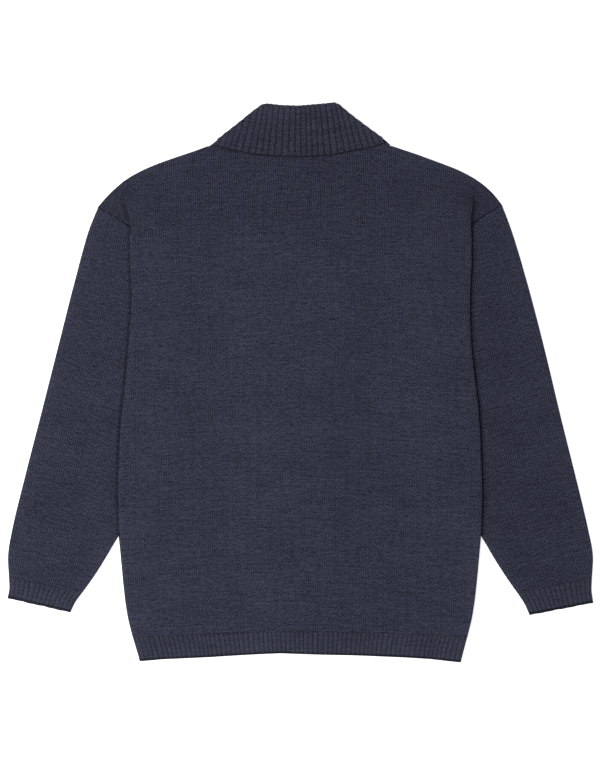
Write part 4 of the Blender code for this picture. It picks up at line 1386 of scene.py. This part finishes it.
def wool(name, dark, light, finish, furrows):
    """Knitted wool: plain knitting, or ribs with a furrow at each whole count."""
    made, shader, wire = new_material(name)
    across, up = stitch_counts(wire)
    from_middle = (across.part() - 0.5).size() * 2.0
    side, furrow = furrows(wire, across, up, from_middle)
    height = vees(side, up)
    streaks = noise(wire, across * finish["streaks"], up, 1.0, seed=2.0, roughness=0.6)
    fibres = noise(wire, across * finish["grain"], up * 1.7, 1.0, seed=7.0, roughness=0.6)
    long_streaks = noise(wire, across * 0.09, up * 0.8, 1.0, seed=5.0)
    clouds = noise(wire, across * finish["clouds"], up * 0.07, 1.0, seed=4.0)
    # Darker near seams, which are dark joints, and painted shade at edges that round away and
    # beside folds above the cloth.
    edge = 1.0 - attribute(wire, "from seam and shade").eased(DARK_EDGE, finish["edge"])
    outline = attribute(wire, "from outline")
    tone = finish["base"] + (streaks - 0.5) * STREAKS + (long_streaks - 0.5) * LONG_STREAKS
    tone = tone + (fibres - 0.5) * finish["fibres"] + (clouds - 0.5) * CLOUDS
    # The legs' height lightens the colour and the furrows darken it: painted shade of the stitches'
    # relief.
    tone = tone + (height - 0.45) * finish["stitch"] - furrow - edge * EDGE_SHADE
    # Painted rim light, lightest at the outline and fading inwards.
    for fade in PAINTED_RIM_LIGHT_FADES:
        tone = tone + PAINTED_RIM_LIGHT * wire.maths("EXPONENT", outline * fade)
    tone = wire.maths("ADD", tone, 0.0, clamp=True)
    shader.inputs["Roughness"].default_value = 0.95
    shader.inputs["Specular IOR Level"].default_value = 0.1
    shader.inputs["Sheen Weight"].default_value = 0.04
    shader.inputs["Sheen Roughness"].default_value = 0.6
    wire.plug(shader.inputs["Base Color"], mixed(tone, dark, light))
    relief = height + (fibres - 0.5) * 0.6 - furrow * 0.6
    bump = wire.node("ShaderNodeBump", None,
                     {"Height": relief, "Strength": 0.8, "Distance": 0.6 * MM})
    wire.plug(shader.inputs["Normal"], bump)
    return made


KNIT_DARK = (0.0060, 0.0066, 0.0142, 1.0)
KNIT_LIGHT = (0.0665, 0.0705, 0.1125, 1.0)
RIB_DARK = (0.0095, 0.0103, 0.0185, 1.0)
RIB_LIGHT = (0.0640, 0.0675, 0.1030, 1.0)
plain_knit = wool("navy plain knit", KNIT_DARK, KNIT_LIGHT, PLAIN, plain_furrows)
ribbed_knit = wool("navy ribbed knit", RIB_DARK, RIB_LIGHT, RIBBED, rib_furrows)
print("nodes in the plain knit:", len(plain_knit.node_tree.nodes))

# %% [markdown]
# ## The buttons
#
# The five buttons keep the rigid model's shape. They are cast in a dark resin, whose pale
# clouds are noise, with a satin skin that is a little rougher where fingers rub it.

# %% Button material
RESIN_DARK = (0.010, 0.011, 0.018, 1.0)
RESIN_LIGHT = (0.045, 0.047, 0.062, 1.0)
button_resin, shader, wire = new_material("dark resin")
place = wire.node("ShaderNodeTexCoord", None, None, "Object")
clouds = wire.node("ShaderNodeTexNoise", None,
                   {"Vector": place, "Scale": 220.0, "Detail": 4.0, "Distortion": 1.2})
resin_colour = mixed(clouds.eased(0.35, 0.75), RESIN_DARK, RESIN_LIGHT)
wire.plug(shader.inputs["Base Color"], resin_colour)
wire.plug(shader.inputs["Roughness"], 0.28 + 0.2 * clouds)
rubbed = wire.node("ShaderNodeBump", None,
                   {"Height": clouds, "Strength": 0.15, "Distance": 0.1 * MM})
wire.plug(shader.inputs["Normal"], rubbed)
buttons = [f"button_{number}" for number in range(1, 6)]
for name in buttons:
    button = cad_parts[name]
    button.data.materials.clear()
    button.data.materials.append(button_resin)
print("buttons:", buttons)

# %% [markdown]
# ## Joining the cloth to the frame
#
# The cardigan has no joints, so all of it rides on one body. Each piece of cloth stands for the
# solid below it and takes its finish from one of the record's slots. The table also lists the
# size each was knitted to and what it lies on.

SHEETS = {
    # piece: (solid, slot, width and length of the cut, rests on)
    "back": ("back_panel", "knit", (0.600, 0.685), ("front_left", "front_right")),
    "back_hem": ("back_hem_rib", "rib", (0.475, 0.033), ("front_hem_left", "front_hem_right")),
    "front_left": ("front_panel_left", "knit", (0.262, 0.680), ()),
    "front_right": ("front_panel_right", "knit", (0.262, 0.680), ()),
    "front_hem_left": ("front_hem_rib_left", "rib", (0.212, 0.033), ()),
    "front_hem_right": ("front_hem_rib_right", "rib", (0.212, 0.033), ()),
    "buttonhole_strip": ("buttonhole_band", "rib", (0.071, 0.757), ()),
    "button_strip": ("button_band", "rib", (0.071, 0.757), ("buttonhole_strip",)),
    "sleeve_cloth_left": ("sleeve_left", "knit", (0.380, 0.500), ("front_left",)),
    "sleeve_cloth_right": ("sleeve_right", "knit", (0.380, 0.500), ("front_right",)),
    "cuff_cloth_left": ("cuff_left", "rib", (0.190, 0.032), ()),
    "cuff_cloth_right": ("cuff_right", "rib", (0.190, 0.032), ()),
    "collar_cloth": ("collar", "rib", (0.230, 0.130), ("back",)),
}
for name, (solid, slot, flat, rests_on) in SHEETS.items():
    piece = sheets[name]["piece"]
    piece.data.materials.clear()
    piece.data.materials.append(plain_knit if slot == "knit" else ribbed_knit)
    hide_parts(solid)
    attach(piece, "root")

# %% [markdown]
# ## The studio
#
# The garment lies on pale paper that glows a little, as a lit table does, so that its shadows
# wash out. One large soft light hangs on the left, and an even white surround fills in. The
# side folds show it: the left one is lit and the right one falls away into a narrow shadow,
# and painted shade on the sleeves beside both folds darkens them further. Colours are kept as
# they are, with no film curve.

# %% Floor
FLOOR_SIZE = 40.0
FLOOR_BELOW = 0.2 * MM
bpy.ops.object.select_all(action="DESELECT")
bpy.ops.mesh.primitive_plane_add(size=FLOOR_SIZE, location=(0.0, 0.0, -FLOOR_BELOW))
floor = bpy.context.object
floor.name = "floor"
paper, shader, wire = new_material("pale paper")
place = wire.node("ShaderNodeTexCoord", None, None, "Object")
grain = wire.node("ShaderNodeTexNoise", None, {"Vector": place, "Scale": 40.0, "Detail": 3.0})
paper_colour = mixed(grain, (0.86, 0.86, 0.86, 1.0), (0.90, 0.90, 0.90, 1.0))
wire.plug(shader.inputs["Base Color"], paper_colour)
shader.inputs["Roughness"].default_value = 0.95
shader.inputs["Specular IOR Level"].default_value = 0.1
shader.inputs["Emission Color"].default_value = (1.0, 1.0, 1.0, 1.0)
shader.inputs["Emission Strength"].default_value = 0.75
floor.data.materials.append(paper)
print("the floor is", FLOOR_SIZE, "m wide")

# %% Lights
SURROUND = 0.27
KEY_POWER = 66.0
KEY_SIZE = 1.8
KEY_PLACE = Vector((-1.2, -0.2, 2.4))
world = bpy.data.worlds.new("studio")
bpy.context.scene.world = world
world.use_nodes = True
background = world.node_tree.nodes["Background"]
background.inputs["Color"].default_value = (1.0, 1.0, 1.0, 1.0)
background.inputs["Strength"].default_value = SURROUND
key_data = bpy.data.lights.new("key", "AREA")
key_data.shape = "DISK"
key_data.size = KEY_SIZE
key_data.energy = KEY_POWER
key = bpy.data.objects.new("key", key_data)
bpy.context.scene.collection.objects.link(key)
key.location = KEY_PLACE
key.rotation_euler = (-KEY_PLACE).to_track_quat("-Z", "Y").to_euler()
bpy.context.scene.view_settings.view_transform = "Standard"
bpy.context.scene.view_settings.look = "None"
print("the light hangs", round(KEY_PLACE.length, 2), "m away")

# %% [markdown]
